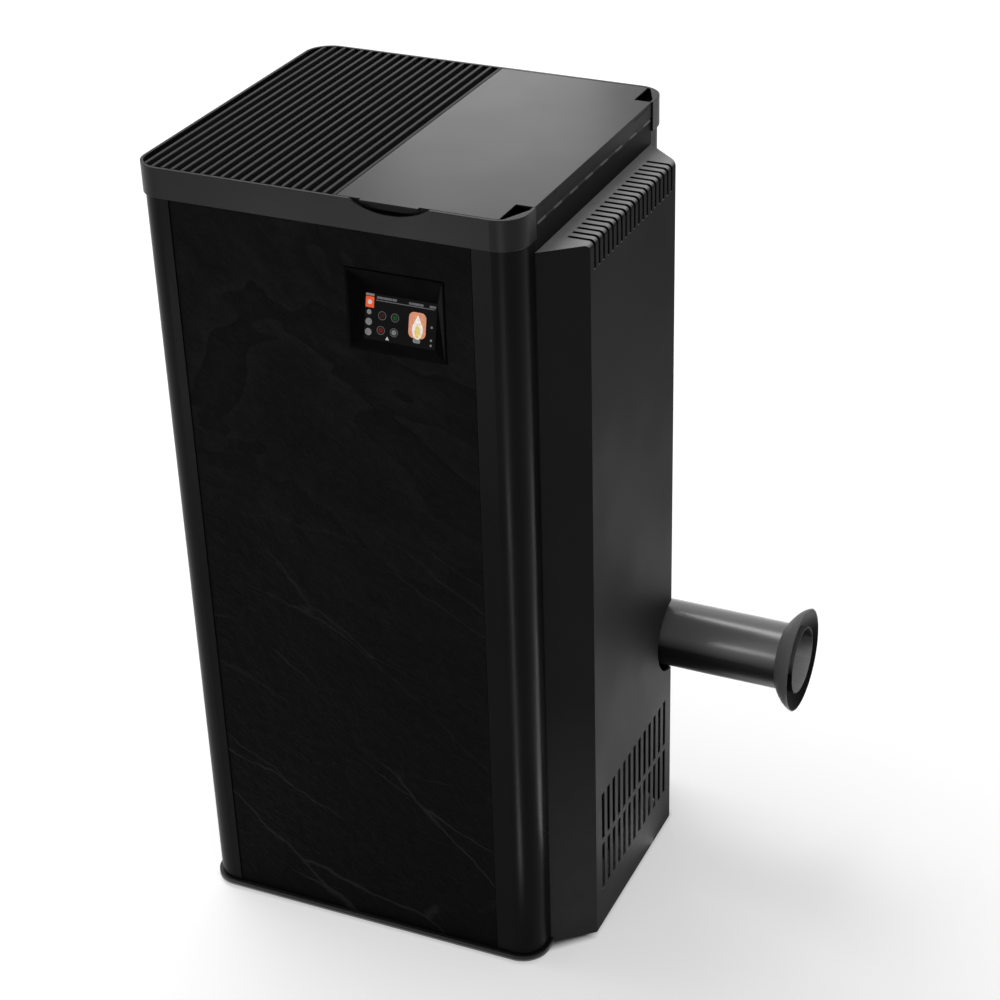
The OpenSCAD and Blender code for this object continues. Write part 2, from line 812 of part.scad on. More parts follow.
// Sheet wall between the fire side and the rear bay
module firewall() {
    clear = 1;
    color([0.4, 0.4, 0.41]) difference() {
        block([-stone_x0 + sheet_t + 1, wall_y, plate_z],
            [stone_x0 - sheet_t - 1, wall_y + wall_t, shelf_z - shelf_t - 4]);
        auger_frame() cylinder(h = auger_l + 60, r = auger_r + clear, $fn = 64);
        rod_y(0, air_pipe_z, air_pipe_d / 2 + clear, 0, wall_y + 10);
        block([collector_x0 - clear, 0, collector_z0 - clear],
            [collector_x1 + clear, wall_y + 10, collector_z1 + clear]);
        rod_y(igniter_x, igniter_z, 8, 0, wall_y + 10);
        // Outlet of the room fan
        block([room_x0 + 4, 0, room_outlet_z0 + 3],
            [room_x0 + room_w - 4, wall_y + 10, room_outlet_z1 - 3]);
        // Room beside the frame's shelf
        for (s = [0, 1]) mirror([s, 0, 0])
            block([case_half_w - band_t - shelf_w - 2, 0, case_top - 1], [half_w, wall_y + 10, body_h]);
    }
}

module firebox() {
    w = firebox_w / 2;
    t = firebox_t;
    leg0 = duct_x0 + 8;
    color([0.22, 0.22, 0.23]) difference() {
        union() {
            difference() {
                block([-w, box_y0, firebox_z], [w, box_y1, box_top]);
                block([-w + t, box_y0 - cut, firebox_z + t], [w - t, box_y1 - t, box_top - t]);
            }
            // Ledges under the baffle
            for (s = [0, 1]) mirror([s, 0, 0])
                block([w - t - 12, box_y0 + 20, baffle_z - 4],
                    [w - t, box_y1 - t, baffle_z]);
        }
        // Ash opening
        block([-ash_hole_w / 2, pot_y - ash_hole_l / 2, firebox_z - cut],
            [ash_hole_w / 2, pot_y + ash_hole_l / 2, firebox_z + t + cut]);
        rod_y(0, air_pipe_z, air_pipe_d / 2, box_y1 - 2 * t, box_y1 + cut);
        block([-chute_w / 2 - 1, box_y1 - 2 * t, chute_mouth_z0],
            [chute_w / 2 + 1, box_y1 + cut, chute_mouth_z1]);
        rod_y(igniter_x, igniter_z, 6, box_y1 - 2 * t, box_y1 + cut);
        rod_y(sensor_x, sensor_z, 3.1, box_y1 - 2 * t, box_y1 + cut);
        // Smoke outlets above the baffle
        for (s = [0, 1]) mirror([s, 0, 0])
            block([leg0, box_y1 - 2 * t, smoke_mouth_z0], [duct_x1 - 8, box_y1 + cut, smoke_mouth_z1]);
        for (i = [0:tube_count - 1]) rod_y(tube_x(i), tube_z, tube_d / 2, box_y1 - 2 * t, box_y1 + cut);
    }
}

module rear_liner() {
    y1 = box_y1 - firebox_t;
    half = firebox_w / 2 - firebox_t - liner_t - 1;
    pitch = 2 * half / flute_count;
    color([0.16, 0.16, 0.16]) difference() {
        block([-half, y1 - liner_t, firebox_z + firebox_t], [half, y1, firebox_z + firebox_t + liner_h]);
        for (i = [0:flute_count - 1]) translate([-half + (i + 0.5) * pitch, y1 - liner_t, firebox_z + 40])
            cylinder(h = liner_h - 80, r = pitch * 0.28, $fn = 24);
        block([-chute_w / 2 - 1, y1 - liner_t - cut, chute_mouth_z0 - 30],
            [chute_w / 2 + 1, y1 + cut, chute_mouth_z1]);
        rod_y(0, air_pipe_z, air_pipe_d / 2 + 1, y1 - liner_t - cut, y1 + cut);
        rod_y(igniter_x, igniter_z, 7, y1 - liner_t - cut, y1 + cut);
        rod_y(sensor_x, sensor_z, 4, y1 - liner_t - cut, y1 + cut);
    }
}

module side_liners() {
    x1 = firebox_w / 2 - firebox_t;
    color([0.18, 0.18, 0.18]) for (s = [0, 1]) mirror([s, 0, 0]) difference() {
        block([x1 - liner_t, box_y0 + 24, firebox_z + firebox_t],
            [x1, box_y1 - firebox_t, firebox_z + firebox_t + liner_h]);
        // Sunk field in the liner's face
        block([x1 - liner_t - cut, box_y0 + 50, firebox_z + 40],
            [x1 - liner_t + 4, box_y1 - 36, firebox_z + liner_h - 30]);
    }
}

module baffle_plate() {
    w = firebox_w / 2 - firebox_t - 1;
    z = baffle_z;
    color([0.5, 0.46, 0.38]) difference() {
        block([-w, box_y0 + 65, z], [w, box_y1 - firebox_t, z + baffle_t]);
        for (s = [-1, 1]) translate([s * w / 2, (box_y0 + 65 + box_y1) / 2, z - cut])
            cylinder(h = baffle_t + 2 * cut, r = 9, $fn = 32);
    }
}

module exchanger_tubes() {
    color([0.3, 0.3, 0.31]) for (i = [0:tube_count - 1]) difference() {
        rod_y(tube_x(i), tube_z, tube_d / 2, frame_y, box_y1 + 6);
        rod_y(tube_x(i), tube_z, tube_d / 2 - 2, frame_y - cut, box_y1 + 6 + cut);
    }
}

// Burn pot's outside, and its hollow when t is above 0
module pot_block(t) {
    block([-pot_w / 2 + t, pot_y - pot_d / 2 + t, pot_z0 + t],
        [pot_w / 2 - t, pot_y + pot_d / 2 - t, pot_z1 + (t > 0 ? 1 : 0)]);
}

module pot_holder() {
    top_z = pot_z1 - pot_flange_t - seat_gap;
    w = pot_w / 2 + 12;
    d = pot_d / 2 + 12;
    color([0.2, 0.2, 0.2]) difference() {
        block([-w, pot_y - d, firebox_z + firebox_t], [w, pot_y + d, top_z]);
        block([-w + 5, pot_y - d + 5, firebox_z], [w - 5, pot_y + d - 5, top_z - 6]);
        block([-pot_w / 2 - seat_gap, pot_y - pot_d / 2 - seat_gap, firebox_z],
            [pot_w / 2 + seat_gap, pot_y + pot_d / 2 + seat_gap, body_h]);
        rod_y(0, air_pipe_z, air_pipe_d / 2, pot_y, box_y1);
        rod_y(igniter_x, igniter_z, 6, pot_y, box_y1);
    }
}

module burn_pot() {
    floor_pitch_x = (pot_w - 2 * pot_t) / pot_columns;
    floor_pitch_y = (pot_d - 2 * pot_t) / pot_rows;
    color([0.24, 0.23, 0.23]) difference() {
        union() {
            pot_block(0);
            block([-pot_w / 2 - 8, pot_y - pot_d / 2 - 8, pot_z1 - pot_flange_t],
                [pot_w / 2 + 8, pot_y + pot_d / 2 + 8, pot_z1]);
        }
        pot_block(pot_t);
        for (i = [0:pot_columns - 1], j = [0:pot_rows - 1])
            translate([-pot_w / 2 + pot_t + (i + 0.5) * floor_pitch_x,
                pot_y - pot_d / 2 + pot_t + (j + 0.5) * floor_pitch_y, pot_z0 - cut])
                cylinder(h = pot_t + 2 * cut, r = pot_hole_d / 2, $fn = 24);
        // Window for the igniter's tip
        rod_y(igniter_x, igniter_z, 6, pot_y, pot_y + pot_d);
    }
}

module igniter() {
    y0 = pot_y + pot_d / 2 + 1;
    color([0.7, 0.7, 0.68]) {
        rod_y(igniter_x, igniter_z, 5, y0, wall_y + 24, 32);
        rod_y(igniter_x, igniter_z, 11, wall_y + wall_t, wall_y + 12, 6);
    }
}

module flame_sensor() {
    color([0.75, 0.75, 0.74]) {
        rod_y(sensor_x, sensor_z, 3, box_y1 - 70, box_y1 + 8, 24);
        rod_y(sensor_x, sensor_z, 7, box_y1, box_y1 + 8, 6);
    }
}

module pellet_chute() {
    t = 1.5;
    head = auger_d / 2 + 4;
    half = chute_w / 2;
    z0 = chute_head_z0;
    z1 = chute_head_z1;
    color([0.45, 0.45, 0.46]) difference() {
        union() {
            block([-head, box_y1, z0], [head, wall_y, z1]);
            chute_run(half, 0);
        }
        block([-head + t, box_y1 + t, z0 + t], [head - t, wall_y + cut, z1 - t]);
        chute_run(half - t, 12);
    }
}

// Square duct that slopes from the chute's head into the firebox
module chute_run(half, longer) {
    intersection() {
        translate([0, box_y1 + 14, chute_head_z0 + chute_w / 2 + 6]) rotate([48, 0, 0])
            block([-half, -74 - longer, -half], [half, 4 + longer, half]);
        block([-body_w, -body_d, 0], [body_w, wall_y - (longer > 0 ? 1.5 : 0), body_h]);
    }
}

module hopper() {
    w = hopper_w / 2;
    t = hopper_t;
    color([0.55, 0.56, 0.57]) difference() {
        union() {
            block([-w - t, hopper_y0 - t, hopper_z0], [w + t, hopper_y1 + t, hopper_z1]);
            // Rim that lies on the top frame's shelf
            intersection() {
                block([-half_w, lid_front_y + 2, shelf_z], [half_w, lid_notch_y - 2, hopper_z1]);
                translate([0, 0, shelf_z]) linear_extrude(shelf_t) top_plan();
            }
        }
        block([-w, hopper_y0, hopper_z0 - cut], [w, hopper_y1, hopper_z1 + cut]);
    }
}

// Funnel and neck under the hopper, grown outwards by t and lengthened upwards by longer
module funnel_form(t, longer) {
    slice = 0.1;
    w = hopper_w / 2 + t;
    neck_w = neck_half_w - hopper_t + t;
    y0 = neck_y0 + hopper_t - t;
    y1 = neck_y1 - hopper_t + t;
    hull() {
        block([-w, hopper_y0 - t, hopper_z0 - slice], [w, hopper_y1 + t, hopper_z0 + longer]);
        block([-neck_w, y0, funnel_z0], [neck_w, y1, funnel_z0 + slice]);
    }
    block([-neck_w, y0, auger_z], [neck_w, y1, funnel_z0 + slice]);
}

module hopper_funnel() {
    color([0.55, 0.56, 0.57]) difference() {
        funnel_form(hopper_t, 0);
        funnel_form(0, cut);
        auger_frame() {
            translate([0, 0, -60]) cylinder(h = auger_l + 60, r = auger_r, $fn = 64);
            // Nothing of the neck goes on under the tube
            block([-auger_d, -auger_d, -60], [auger_d, 0, auger_l]);
        }
    }
}

module auger_tube() {
    color([0.5, 0.5, 0.51]) difference() {
        auger_frame() difference() {
            cylinder(h = auger_l + 30, r = auger_r, $fn = 64);
            translate([0, 0, 4]) cylinder(h = auger_l + 30, r = auger_r - auger_t, $fn = 64);
            translate([0, 0, -cut]) cylinder(h = 6, r = shaft_r + running_gap, $fn = 48);
        }
        // Upright cut at the end inside the chute's head
        block([-auger_d, -auger_d, auger_z], [auger_d, wall_y - 10, body_h]);
        // Inlet under the hopper's neck
        block([-neck_half_w + 5, neck_y0 + 5, auger_z + auger_r - 4],
            [neck_half_w - 5, neck_y1 - 5, funnel_z0]);
    }
}

module auger_motor() {
    gear_l = 52;
    color([0.3, 0.3, 0.32]) auger_frame() difference() {
        union() {
            block([-36, -30, -gear_l], [36, 30, 0]);
            translate([0, 0, -gear_l - 46]) cylinder(h = 47, r = 27, $fn = 64);
            for (x = [-28, 28], y = [-22, 22]) translate([x, y, -gear_l - 4])
                cylinder(h = 5, r = 4, $fn = 6);
        }
        translate([0, 0, -31]) cylinder(h = 31 + cut, r = shaft_r + running_gap, $fn = 48);
    }
}

module auger_screw() {
    run = auger_l - 16;
    turn = 360 * flight_turns;
    // Angle that the flight's thickness takes up in its pitch
    slab = 360 * flight_t / (run / flight_turns);
    steps = 4;
    color([0.66, 0.67, 0.68]) auger_frame() {
        translate([0, 0, -28]) cylinder(h = auger_l + 20, r = shaft_r, $fn = 48);
        translate([0, 0, 6]) linear_extrude(height = run, twist = -turn, slices = flight_turns * 16)
            polygon(concat(
                [for (i = [0:steps]) let (a = i * slab / steps) (shaft_r - 1) * [cos(a), sin(a)]],
                [for (i = [steps:-1:0]) let (a = i * slab / steps) flight_r * [cos(a), sin(a)]]
            ));
    }
}

// Outline of a fan's scroll: its outlet points along +X at the top
function scroll(r0, r1, out, low) = concat(
    [for (i = [0:30]) let (a = 60 - 11 * i, r = r0 + (r1 - r0) * i / 30) [r * cos(a), r * sin(a)]],
    [[out, r1], [out, low]]
);

module exhaust_fan_housing() {
    t = fan_shell;
    low = fan_scroll_r1 - fan_outlet_h;
    place_x = fan_x0;
    color([0.42, 0.42, 0.43]) difference() {
        union() {
            translate([place_x, fan_y, fan_z]) rotate([90, 0, 90])
                linear_extrude(exhaust_w) polygon(scroll(fan_scroll_r0, fan_scroll_r1, fan_out, low));
            rod_y(fan_x, flue_z, collar_r + collar_t, collar_y0 - 1, collar_y0 + collar_l, 96);
        }
        translate([place_x + t, fan_y, fan_z]) rotate([90, 0, 90]) linear_extrude(exhaust_w - 2 * t)
            polygon(scroll(fan_scroll_r0 - t, fan_scroll_r1 - t, fan_out - t, low + t));
        rod_y(fan_x, flue_z, fan_outlet_h / 2 - t - 2, collar_y0 - t - 2, collar_y0 + flue_seat, 64);
        rod_y(fan_x, flue_z, collar_r, collar_y0 + flue_seat, collar_y0 + collar_l + cut, 96);
        rod_x(fan_y, fan_z, 36, fan_x1 - t - cut, fan_x1 + cut, 64);
        rod_x(fan_y, fan_z, exhaust_shaft_r + 1, fan_x0 - cut, fan_x0 + t + cut, 32);
    }
}

module exhaust_fan_wheel() {
    r = exhaust_wheel_d / 2;
    x0 = fan_x0 + fan_shell + 2;
    w = exhaust_w - 2 * fan_shell - 12;
    color([0.6, 0.6, 0.61]) {
        rod_x(fan_y, fan_z, r, x0, x0 + 2, 64);
        rod_x(fan_y, fan_z, 12, x0, x0 + 16, 48);
        rod_x(fan_y, fan_z, exhaust_shaft_r, fan_x0 - 24, x0 + 1, 48);
        translate([x0 + 1, fan_y, fan_z]) for (i = [0:exhaust_blades - 1])
            rotate([i * 360 / exhaust_blades, 0, 0])
            // Each blade leans back from the hub to the rim
            translate([0, 0, 9]) rotate([24, 0, 0]) block([0, -1, 0], [w, 1, r - 14]);
    }
}

module exhaust_motor() {
    color([0.3, 0.3, 0.32]) difference() {
        union() {
            rod_x(fan_y, fan_z, exhaust_motor_d / 2, fan_x0 - exhaust_motor_l, fan_x0, 64);
            rod_x(fan_y, fan_z, exhaust_motor_d / 2 + 6, fan_x0 - 4, fan_x0, 64);
        }
        rod_x(fan_y, fan_z, exhaust_shaft_r + running_gap, fan_x0 - 25, fan_x0 + cut, 48);
    }
}

module smoke_duct() {
    t = 2;
    front = box_y1;
    back = wall_y - 1;
    cross_z0 = collector_z0 - 4;
    cross_z1 = collector_z1 - 4;
    top = smoke_mouth_z1 + 8;
    color([0.4, 0.4, 0.41]) difference() {
        union() {
            for (s = [0, 1]) mirror([s, 0, 0]) block([duct_x0, front, cross_z0], [duct_x1, back, top]);
            block([-duct_x1, front, cross_z0], [duct_x1, back, cross_z1]);
            block([collector_x0, front, collector_z0], [collector_x1, collector_y1, collector_z1]);
        }
        for (s = [0, 1]) mirror([s, 0, 0]) {
            block([duct_x0 + t, front + t, cross_z0 + t], [duct_x1 - t, back - t, top - t]);
            block([duct_x0 + 8, front - cut, smoke_mouth_z0],
                [duct_x1 - 8, front + t + cut, smoke_mouth_z1]);
        }
        block([-duct_x1 + t, front + t, cross_z0 + t], [duct_x1 - t, back - t, cross_z1 - t]);
        block([collector_x0 + t, front + t, collector_z0 + t],
            [collector_x1 - t, collector_y1 - t, collector_z1 - t]);
        rod_x(fan_y, fan_z, 36, collector_x0 - cut, collector_x0 + t + cut, 64);
    }
}

module flue_pipe() {
    color([0.25, 0.25, 0.26]) difference() {
        rod_y(fan_x, flue_z, flue_r, collar_y0 + flue_seat, flue_end_y, 128);
        rod_y(fan_x, flue_z, flue_r - flue_t, collar_y0 + flue_seat - cut, flue_end_y + cut, 128);
    }
}

module wall_rosette() {
    r0 = flue_r + running_gap;
    grow = rosette_d / 2 - r0;
    swell = 0.7;
    steps = 12;
    // A point of the domed wall, drawn in by off from the side that faces the stove
    function dome(u, off) = let (n = [rosette_l, -grow * (1 + swell - 2 * swell * u)])
        [r0 + grow * u * (1 + swell * (1 - u)), rosette_l * u] - off * n / norm(n);
    color([0.2, 0.2, 0.21]) translate([fan_x, flue_end_y - rosette_l, flue_z]) rotate([-90, 0, 0])
        rotate_extrude($fn = 96) polygon(concat(
            [for (i = [0:steps]) dome(i / steps, 0)],
            [for (i = [steps:-1:1]) dome(i / steps, rosette_t)],
            [
                [r0 + rosette_t, 2 * rosette_t],
                [r0 + rosette_t, rosette_collar],
                [r0, rosette_collar]
            ]
        ));
}

module room_fan_housing() {
    t = 2;
    out = room_y - wall_y - wall_t;
    low = room_scroll_r0 * sin(60);
    color([0.45, 0.45, 0.46]) difference() {
        union() {
            translate([room_x0, room_y, room_z]) mirror([0, 1, 0]) rotate([90, 0, 90])
                linear_extrude(room_w) polygon(scroll(room_scroll_r0, room_scroll_r1, out, low));
            for (x = [room_x0 + 10, room_x0 + room_w - 30])
                block([x, room_y - 14, plate_z], [x + 20, room_y + 14, room_z - room_scroll_r0 + 1]);
        }
        translate([room_x0 + t, room_y, room_z]) mirror([0, 1, 0]) rotate([90, 0, 90])
            linear_extrude(room_w - 2 * t)
                polygon(scroll(room_scroll_r0 - t, room_scroll_r1 - t, out + 1, low + t));
        rod_x(room_y, room_z, room_wheel_d / 2 - 6, room_x0 + room_w - t - cut, room_x0 + room_w + cut, 48);
        rod_x(room_y, room_z, room_shaft_r + 1, room_x0 - cut, room_x0 + t + cut, 32);
    }
}

module room_fan_wheel() {
    r = room_wheel_d / 2;
    x0 = room_x0 + 7;
    color([0.6, 0.6, 0.61]) {
        rod_x(room_y, room_z, r, x0, x0 + 2, 64);
        rod_x(room_y, room_z, r, x0 + room_wheel_l / 2, x0 + room_wheel_l / 2 + 2, 64);
        difference() {
            rod_x(room_y, room_z, r, x0 + room_wheel_l - 2, x0 + room_wheel_l, 64);
            rod_x(room_y, room_z, r - 8, x0 + room_wheel_l - 3, x0 + room_wheel_l + 1, 48);
        }
        rod_x(room_y, room_z, room_shaft_r, room_x0 - 22, x0 + room_wheel_l / 2 + 1, 32);
        translate([x0 + 1, room_y, room_z]) for (i = [0:room_blades - 1])
            rotate([i * 360 / room_blades, 0, 0])
            translate([0, 0, r - 7]) rotate([-30, 0, 0]) block([0, -0.6, 0], [room_wheel_l - 2, 0.6, 6.5]);
    }
}

module room_fan_motor() {
    color([0.3, 0.3, 0.32]) difference() {
        union() {
            rod_x(room_y, room_z, 26, room_x0 - 38, room_x0, 64);
            block([room_x0 - 34, room_y - 20, plate_z], [room_x0 - 8, room_y + 20, room_z - 18]);
        }
        rod_x(room_y, room_z, room_shaft_r + running_gap, room_x0 - 24, room_x0 + cut, 32);
    }
}

module combustion_air_pipe() {
    color([0.45, 0.45, 0.46]) difference() {
        rod_y(0, air_pipe_z, air_pipe_d / 2, pot_y + pot_d / 2 + 7.5, case_half_d - sheet_t, 64);
        rod_y(0, air_pipe_z, air_pipe_d / 2 - 1.5, pot_y, half_d, 64);
    }
}

// Places on the control board, as shares of its length and height
function board_y(u) = grip_y + (u - 0.36) * board_l;
function board_z(v) = board_foot + v * board_h;

module control_board() {
    x = stone_x0 - sheet_t - board_stand;
    t = 1.6;
    color([0.1, 0.35, 0.2]) {
        for (y = [board_y(0) + 8, board_y(1) - 8], z = [board_z(0) + 8, board_z(1) - 8])
            rod_x(y, z, 4, x, x + board_stand, 24);
        block([x - t, board_y(0), board_z(0)], [x, board_y(1), board_z(1)]);
        // Transformer, relays, capacitors, chip and terminals
        block([x - 22, board_y(0.08), board_z(0.67)], [x - t, board_y(0.33), board_z(0.91)]);
        for (u = [0.4, 0.54, 0.68, 0.82])
            block([x - 17, board_y(u), board_z(0.78)], [x - t, board_y(u + 0.11), board_z(0.88)]);
        for (u = [0.19, 0.34, 0.49]) rod_x(board_y(u), board_z(0.53), 8, x - 24, x - t, 24);
        block([x - 4, board_y(0.5), board_z(0.28)], [x - t, board_y(0.64), board_z(0.4)]);
        for (u = [0.12, 0.54])
            block([x - 12, board_y(u), board_z(0.02)], [x - t, board_y(u + 0.31), board_z(0.08)]);
    }
}

// Stands on the middle of the sloping screen: x points out of the screen, z up along it
module screen_frame() {
    translate([screen_x, grip_y, display_z - screen_drop]) rotate([0, -screen_tilt, 0]) children();
}

module display_bezel() {
    lip = 2;
    w = bezel_w / 2;
    h = bezel_h / 2;
    face = stone_x1 + 1;
    slot = 0.2;
    color([0.05, 0.05, 0.055]) difference() {
        union() {
            block([stone_x0, grip_y - w, display_z - h], [face, grip_y + w, display_z + h]);
            block([face - 26, grip_y - w + 8 + seat_gap, display_z - h + 8 + seat_gap],
                [stone_x0 + 1, grip_y + w - 8 - seat_gap, display_z + h - 8 - seat_gap]);
        }
        hull() {
            block([face, grip_y - w + lip, display_z - h + lip],
                [face + cut, grip_y + w - lip, display_z + h - lip]);
            screen_frame() block([0, -screen_w / 2, -screen_h / 2], [0.1, screen_w / 2, screen_h / 2]);
        }
        screen_frame() {
            block([-screen_t, -screen_w / 2 - slot, -screen_h / 2 - slot],
                [cut, screen_w / 2 + slot, screen_h / 2 + slot]);
            // Hollow behind the screen
            block([-40, 5 - screen_w / 2, 6 - screen_h / 2],
                [-screen_t - 2, screen_w / 2 - 5, screen_h / 2 - 6]);
        }
    }
}

module display_screen() {
    color([0.03, 0.03, 0.04]) screen_frame()
        block([-screen_t, -screen_w / 2, -screen_h / 2], [0, screen_w / 2, screen_h / 2]);
}

module mains_inlet() {
    w = mains_w / 2;
    h = mains_h / 2;
    way_y = rocker_l / 2 + 0.6;
    way_z = rocker_w / 2 + 0.3;
    socket_z = -11.5;
    color([0.08, 0.08, 0.085]) chamfer_frame(mains_z) {
        difference() {
            union() {
                block([0, -w - 2.5, -h - 2.5], [2, w + 2.5, h + 2.5]);
                block([-22, -w + seat_gap, -h + seat_gap], [0.5, w - seat_gap, h - seat_gap]);
            }
            // Socket
            block([-15, -12, socket_z - 8], [2 + cut, 12, socket_z + 8]);
            // Way of the rocker and the bearings of its axle
            block([-14, -way_y, rocker_z - way_z], [2 + cut, way_y, rocker_z + way_z]);
            translate([rocker_axis_x, 0, rocker_z - way_z - 2.5])
                cylinder(h = 2 * way_z + 5, r = rocker_pin_r + running_gap, $fn = 32);
        }
        for (p = [[-7, -2], [0, 2], [7, -2]])
            block([-16, p[0] - 1, socket_z + p[1] - 2], [-5, p[0] + 1, socket_z + p[1] + 2]);
    }
}

module power_switch() {
    y = rocker_l / 2 - 0.5;
    color([0.75, 0.08, 0.06]) rocker_frame() {
        translate([-rocker_axis_x, 0, -rocker_w / 2]) linear_extrude(rocker_w)
            polygon([[2, -y], [0.8, 0], [2, y], [-4, y - 0.5], [-8, 6], [-8, -6], [-4, 0.5 - y]]);
        translate([0, 0, -rocker_w / 2 - 2.6]) cylinder(h = rocker_w + 5.2, r = rocker_pin_r, $fn = 32);
    }
}

// Stands on the rocker's axle and leans with it
module rocker_frame() {
    chamfer_frame(mains_z) translate([rocker_axis_x, 0, rocker_z]) rotate([0, 0, -rocker_tilt]) children();
}

// A cylinder along the normal of the rear cover's slant
module slant_rod(z, r, x0, x1, fn = 48) {
    chamfer_frame(z) rod_x(0, 0, r, x0, x1, fn);
}

module safety_thermostat() {
    color([0.3, 0.3, 0.3]) difference() {
        union() {
            slant_rod(thermostat_z, thermostat_r + 4, -24, -sheet_t);
            slant_rod(thermostat_z, thermostat_r, -2, 5);
            slant_rod(thermostat_z, thermostat_r + 4.5, 0, 3.5, 6);
        }
        slant_rod(thermostat_z, button_d / 2 + running_gap, -6, 5 + cut);
    }
}

module reset_button() {
    color([0.7, 0.1, 0.08]) slant_rod(thermostat_z, button_d / 2, -3.5, 7);
}

// Every second knuckle of the lid's hinge, with the tab that carries it
module lid_knuckles(odd, low, high) {
    difference() {
        for (i = [odd:2:knuckle_count - 1]) {
            x0 = -hinge_l / 2 + i * knuckle_pitch + knuckle_gap / 2;
            x1 = x0 + knuckle_pitch - knuckle_gap;
            rod_x(lid_axis_y, lid_axis_z, knuckle_r, x0, x1, 32);
            block([x0, low[0], low[1]], [x1, high[0], high[1]]);
        }
        rod_x(lid_axis_y, lid_axis_z, lid_pin_r + running_gap, -half_w, half_w, 32);
    }
}

module lid_hinge_leaf() {
    y1 = case_half_d - sheet_t;
    z0 = lid_axis_z - 24;
    color([0.5, 0.5, 0.51]) {
        block([-hinge_l / 2, y1 - 1.5, z0], [hinge_l / 2, y1, lid_axis_z - knuckle_r - 0.5]);
        lid_knuckles(0, [y1 - 1.5, z0], [y1, lid_axis_z]);
    }
}

module lid_hinge_pin() {
    color([0.7, 0.7, 0.71]) rod_x(lid_axis_y, lid_axis_z, lid_pin_r, -hinge_l / 2, hinge_l / 2, 32);
}

module hopper_lid() {
    y0 = lid_front_y + top_gap / 2;
    z1 = lid_z0 - 8;
    flange_z0 = body_h - lid_flange_h;
    // Edge folds are as thick as the gap beside the gasket allows, and end before the frame's round corners
    fold = 1.5;
    fold_end_y = min(lid_notch_y, inner_half_d - inner_r) - 1;
    color([0.22, 0.22, 0.23]) difference() {
        union() {
            intersection() {
                block([-lid_half_w, y0, lid_z0], [lid_half_w, lid_notch_y, body_h]);
                translate([0, 0, lid_z0 - cut]) linear_extrude(lid_t + 2 * cut) top_plan();
            }
            block([-lid_rear_half_w, lid_notch_y - 1, lid_z0], [lid_rear_half_w, lid_rear_y, body_h]);
            block([-lid_rear_half_w, lid_rear_y - lid_t, flange_z0], [lid_rear_half_w, lid_rear_y, body_h]);
            block([-lid_half_w, y0, z1], [lid_half_w, y0 + fold, body_h]);
            for (s = [0, 1]) mirror([s, 0, 0])
                block([lid_half_w - fold, y0, z1], [lid_half_w, fold_end_y, body_h]);
            // Finger lip over the notch in the frame
            block([lid_half_w - 1, grip_y - 40, lid_z0], [half_w - 0.5, grip_y + 40, body_h]);
            lid_knuckles(1, [lid_axis_y, lid_axis_z], [lid_rear_y, flange_z0 + 1]);
        }
        for (s = [-1, 1]) translate([s * hinge_slot_x, 0, 0])
            block([-hinge_slot_w / 2, lid_rear_y - 2 * lid_t, lid_z0 - lid_frame_t - 0.2],
                [hinge_slot_w / 2, lid_rear_y + cut, lid_z0]);
        rod_x(lid_axis_y, lid_axis_z, lid_pin_r + running_gap, -half_w, half_w, 32);
    }
}

// Rectangle around the hopper's mouth, between two distances from its edge
module mouth_ring(near, far, z0, z1) {
    difference() {
        block([-hopper_w / 2 - far, hopper_y0 - far, z0], [hopper_w / 2 + far, hopper_y1 + far, z1]);
        block([-hopper_w / 2 - near, hopper_y0 - near, z0 - cut],
            [hopper_w / 2 + near, hopper_y1 + near, z1 + cut]);
    }
}

module lid_inner_frame() {
    z0 = lid_z0 - lid_frame_t;
    color([0.72, 0.72, 0.73]) {
        mouth_ring(-6, gasket_w + 6, z0, lid_z0);
        // Tabs that pass the slots in the lid's rear fold
        for (s = [-1, 1]) translate([s * hinge_slot_x, 0, 0])
            block([1 - hinge_slot_w / 2, hopper_y1, z0], [hinge_slot_w / 2 - 1, lid_rear_y - 0.5, lid_z0]);
    }
}

module lid_gasket() {
    color([0.05, 0.05, 0.05]) mouth_ring(2, gasket_w, hopper_z1 + seat_gap, lid_z0 - lid_frame_t);
}

// The door's window as a prism from y0 to y1, wider by grow on every side
module window_prism(grow, y0, y1) {
    w = 2 * (door_half_w - door_rim + grow);
    h = door_h - 2 * door_rim + 2 * grow;
    translate([0, y1, door_z + door_h / 2]) rotate([90, 0, 0]) linear_extrude(y1 - y0)
        rounded(w, h, max(1, window_r - 2 + grow / 2));
}

// The two ends of the door at its hinge, one the mirror of the other
module hinge_ends() {
    for (s = [0, 1]) translate([0, 0, door_z + door_h / 2]) mirror([0, 0, s]) translate([0, 0, -door_h / 2])
        children();
}

module fire_door() {
    glass_y = door_y1 - 12;
    color([0.1, 0.1, 0.11]) difference() {
        block([-door_half_w, front_y, door_z], [door_half_w, door_y1, door_top]);
        window_prism(0, front_y - cut, door_y1 + cut);
        window_prism(glass_lap, glass_y - glass_t, door_y1 + cut);
        seal_ring(seal_d / 2 + 0.2, door_y1 - seal_d / 2 - 1, door_y1 + cut);
        hinge_ends() {
            block([hinge_x - 12, front_y - cut, -cut], [door_half_w + cut, door_y1 + cut, hinge_notch]);
            translate([hinge_x, hinge_y, 0])
                cylinder(h = hinge_notch + hinge_pin_l + 2, r = hinge_pin_d / 2 + running_gap, $fn = 48);
        }
    }
}

// Square ring in the door's rim, h to each side of its middle line
module seal_ring(h, y0, y1) {
    mid = door_rim - 16;
    difference() {
        block([-door_half_w + mid - 8 - h, y0, door_z + mid - 8 - h],
            [door_half_w - mid + 8 + h, y1, door_top - mid + 8 + h]);
        block([-door_half_w + mid - 8 + h, y0 - cut, door_z + mid - 8 + h],
            [door_half_w - mid + 8 - h, y1 + cut, door_top - mid + 8 - h]);
    }
}

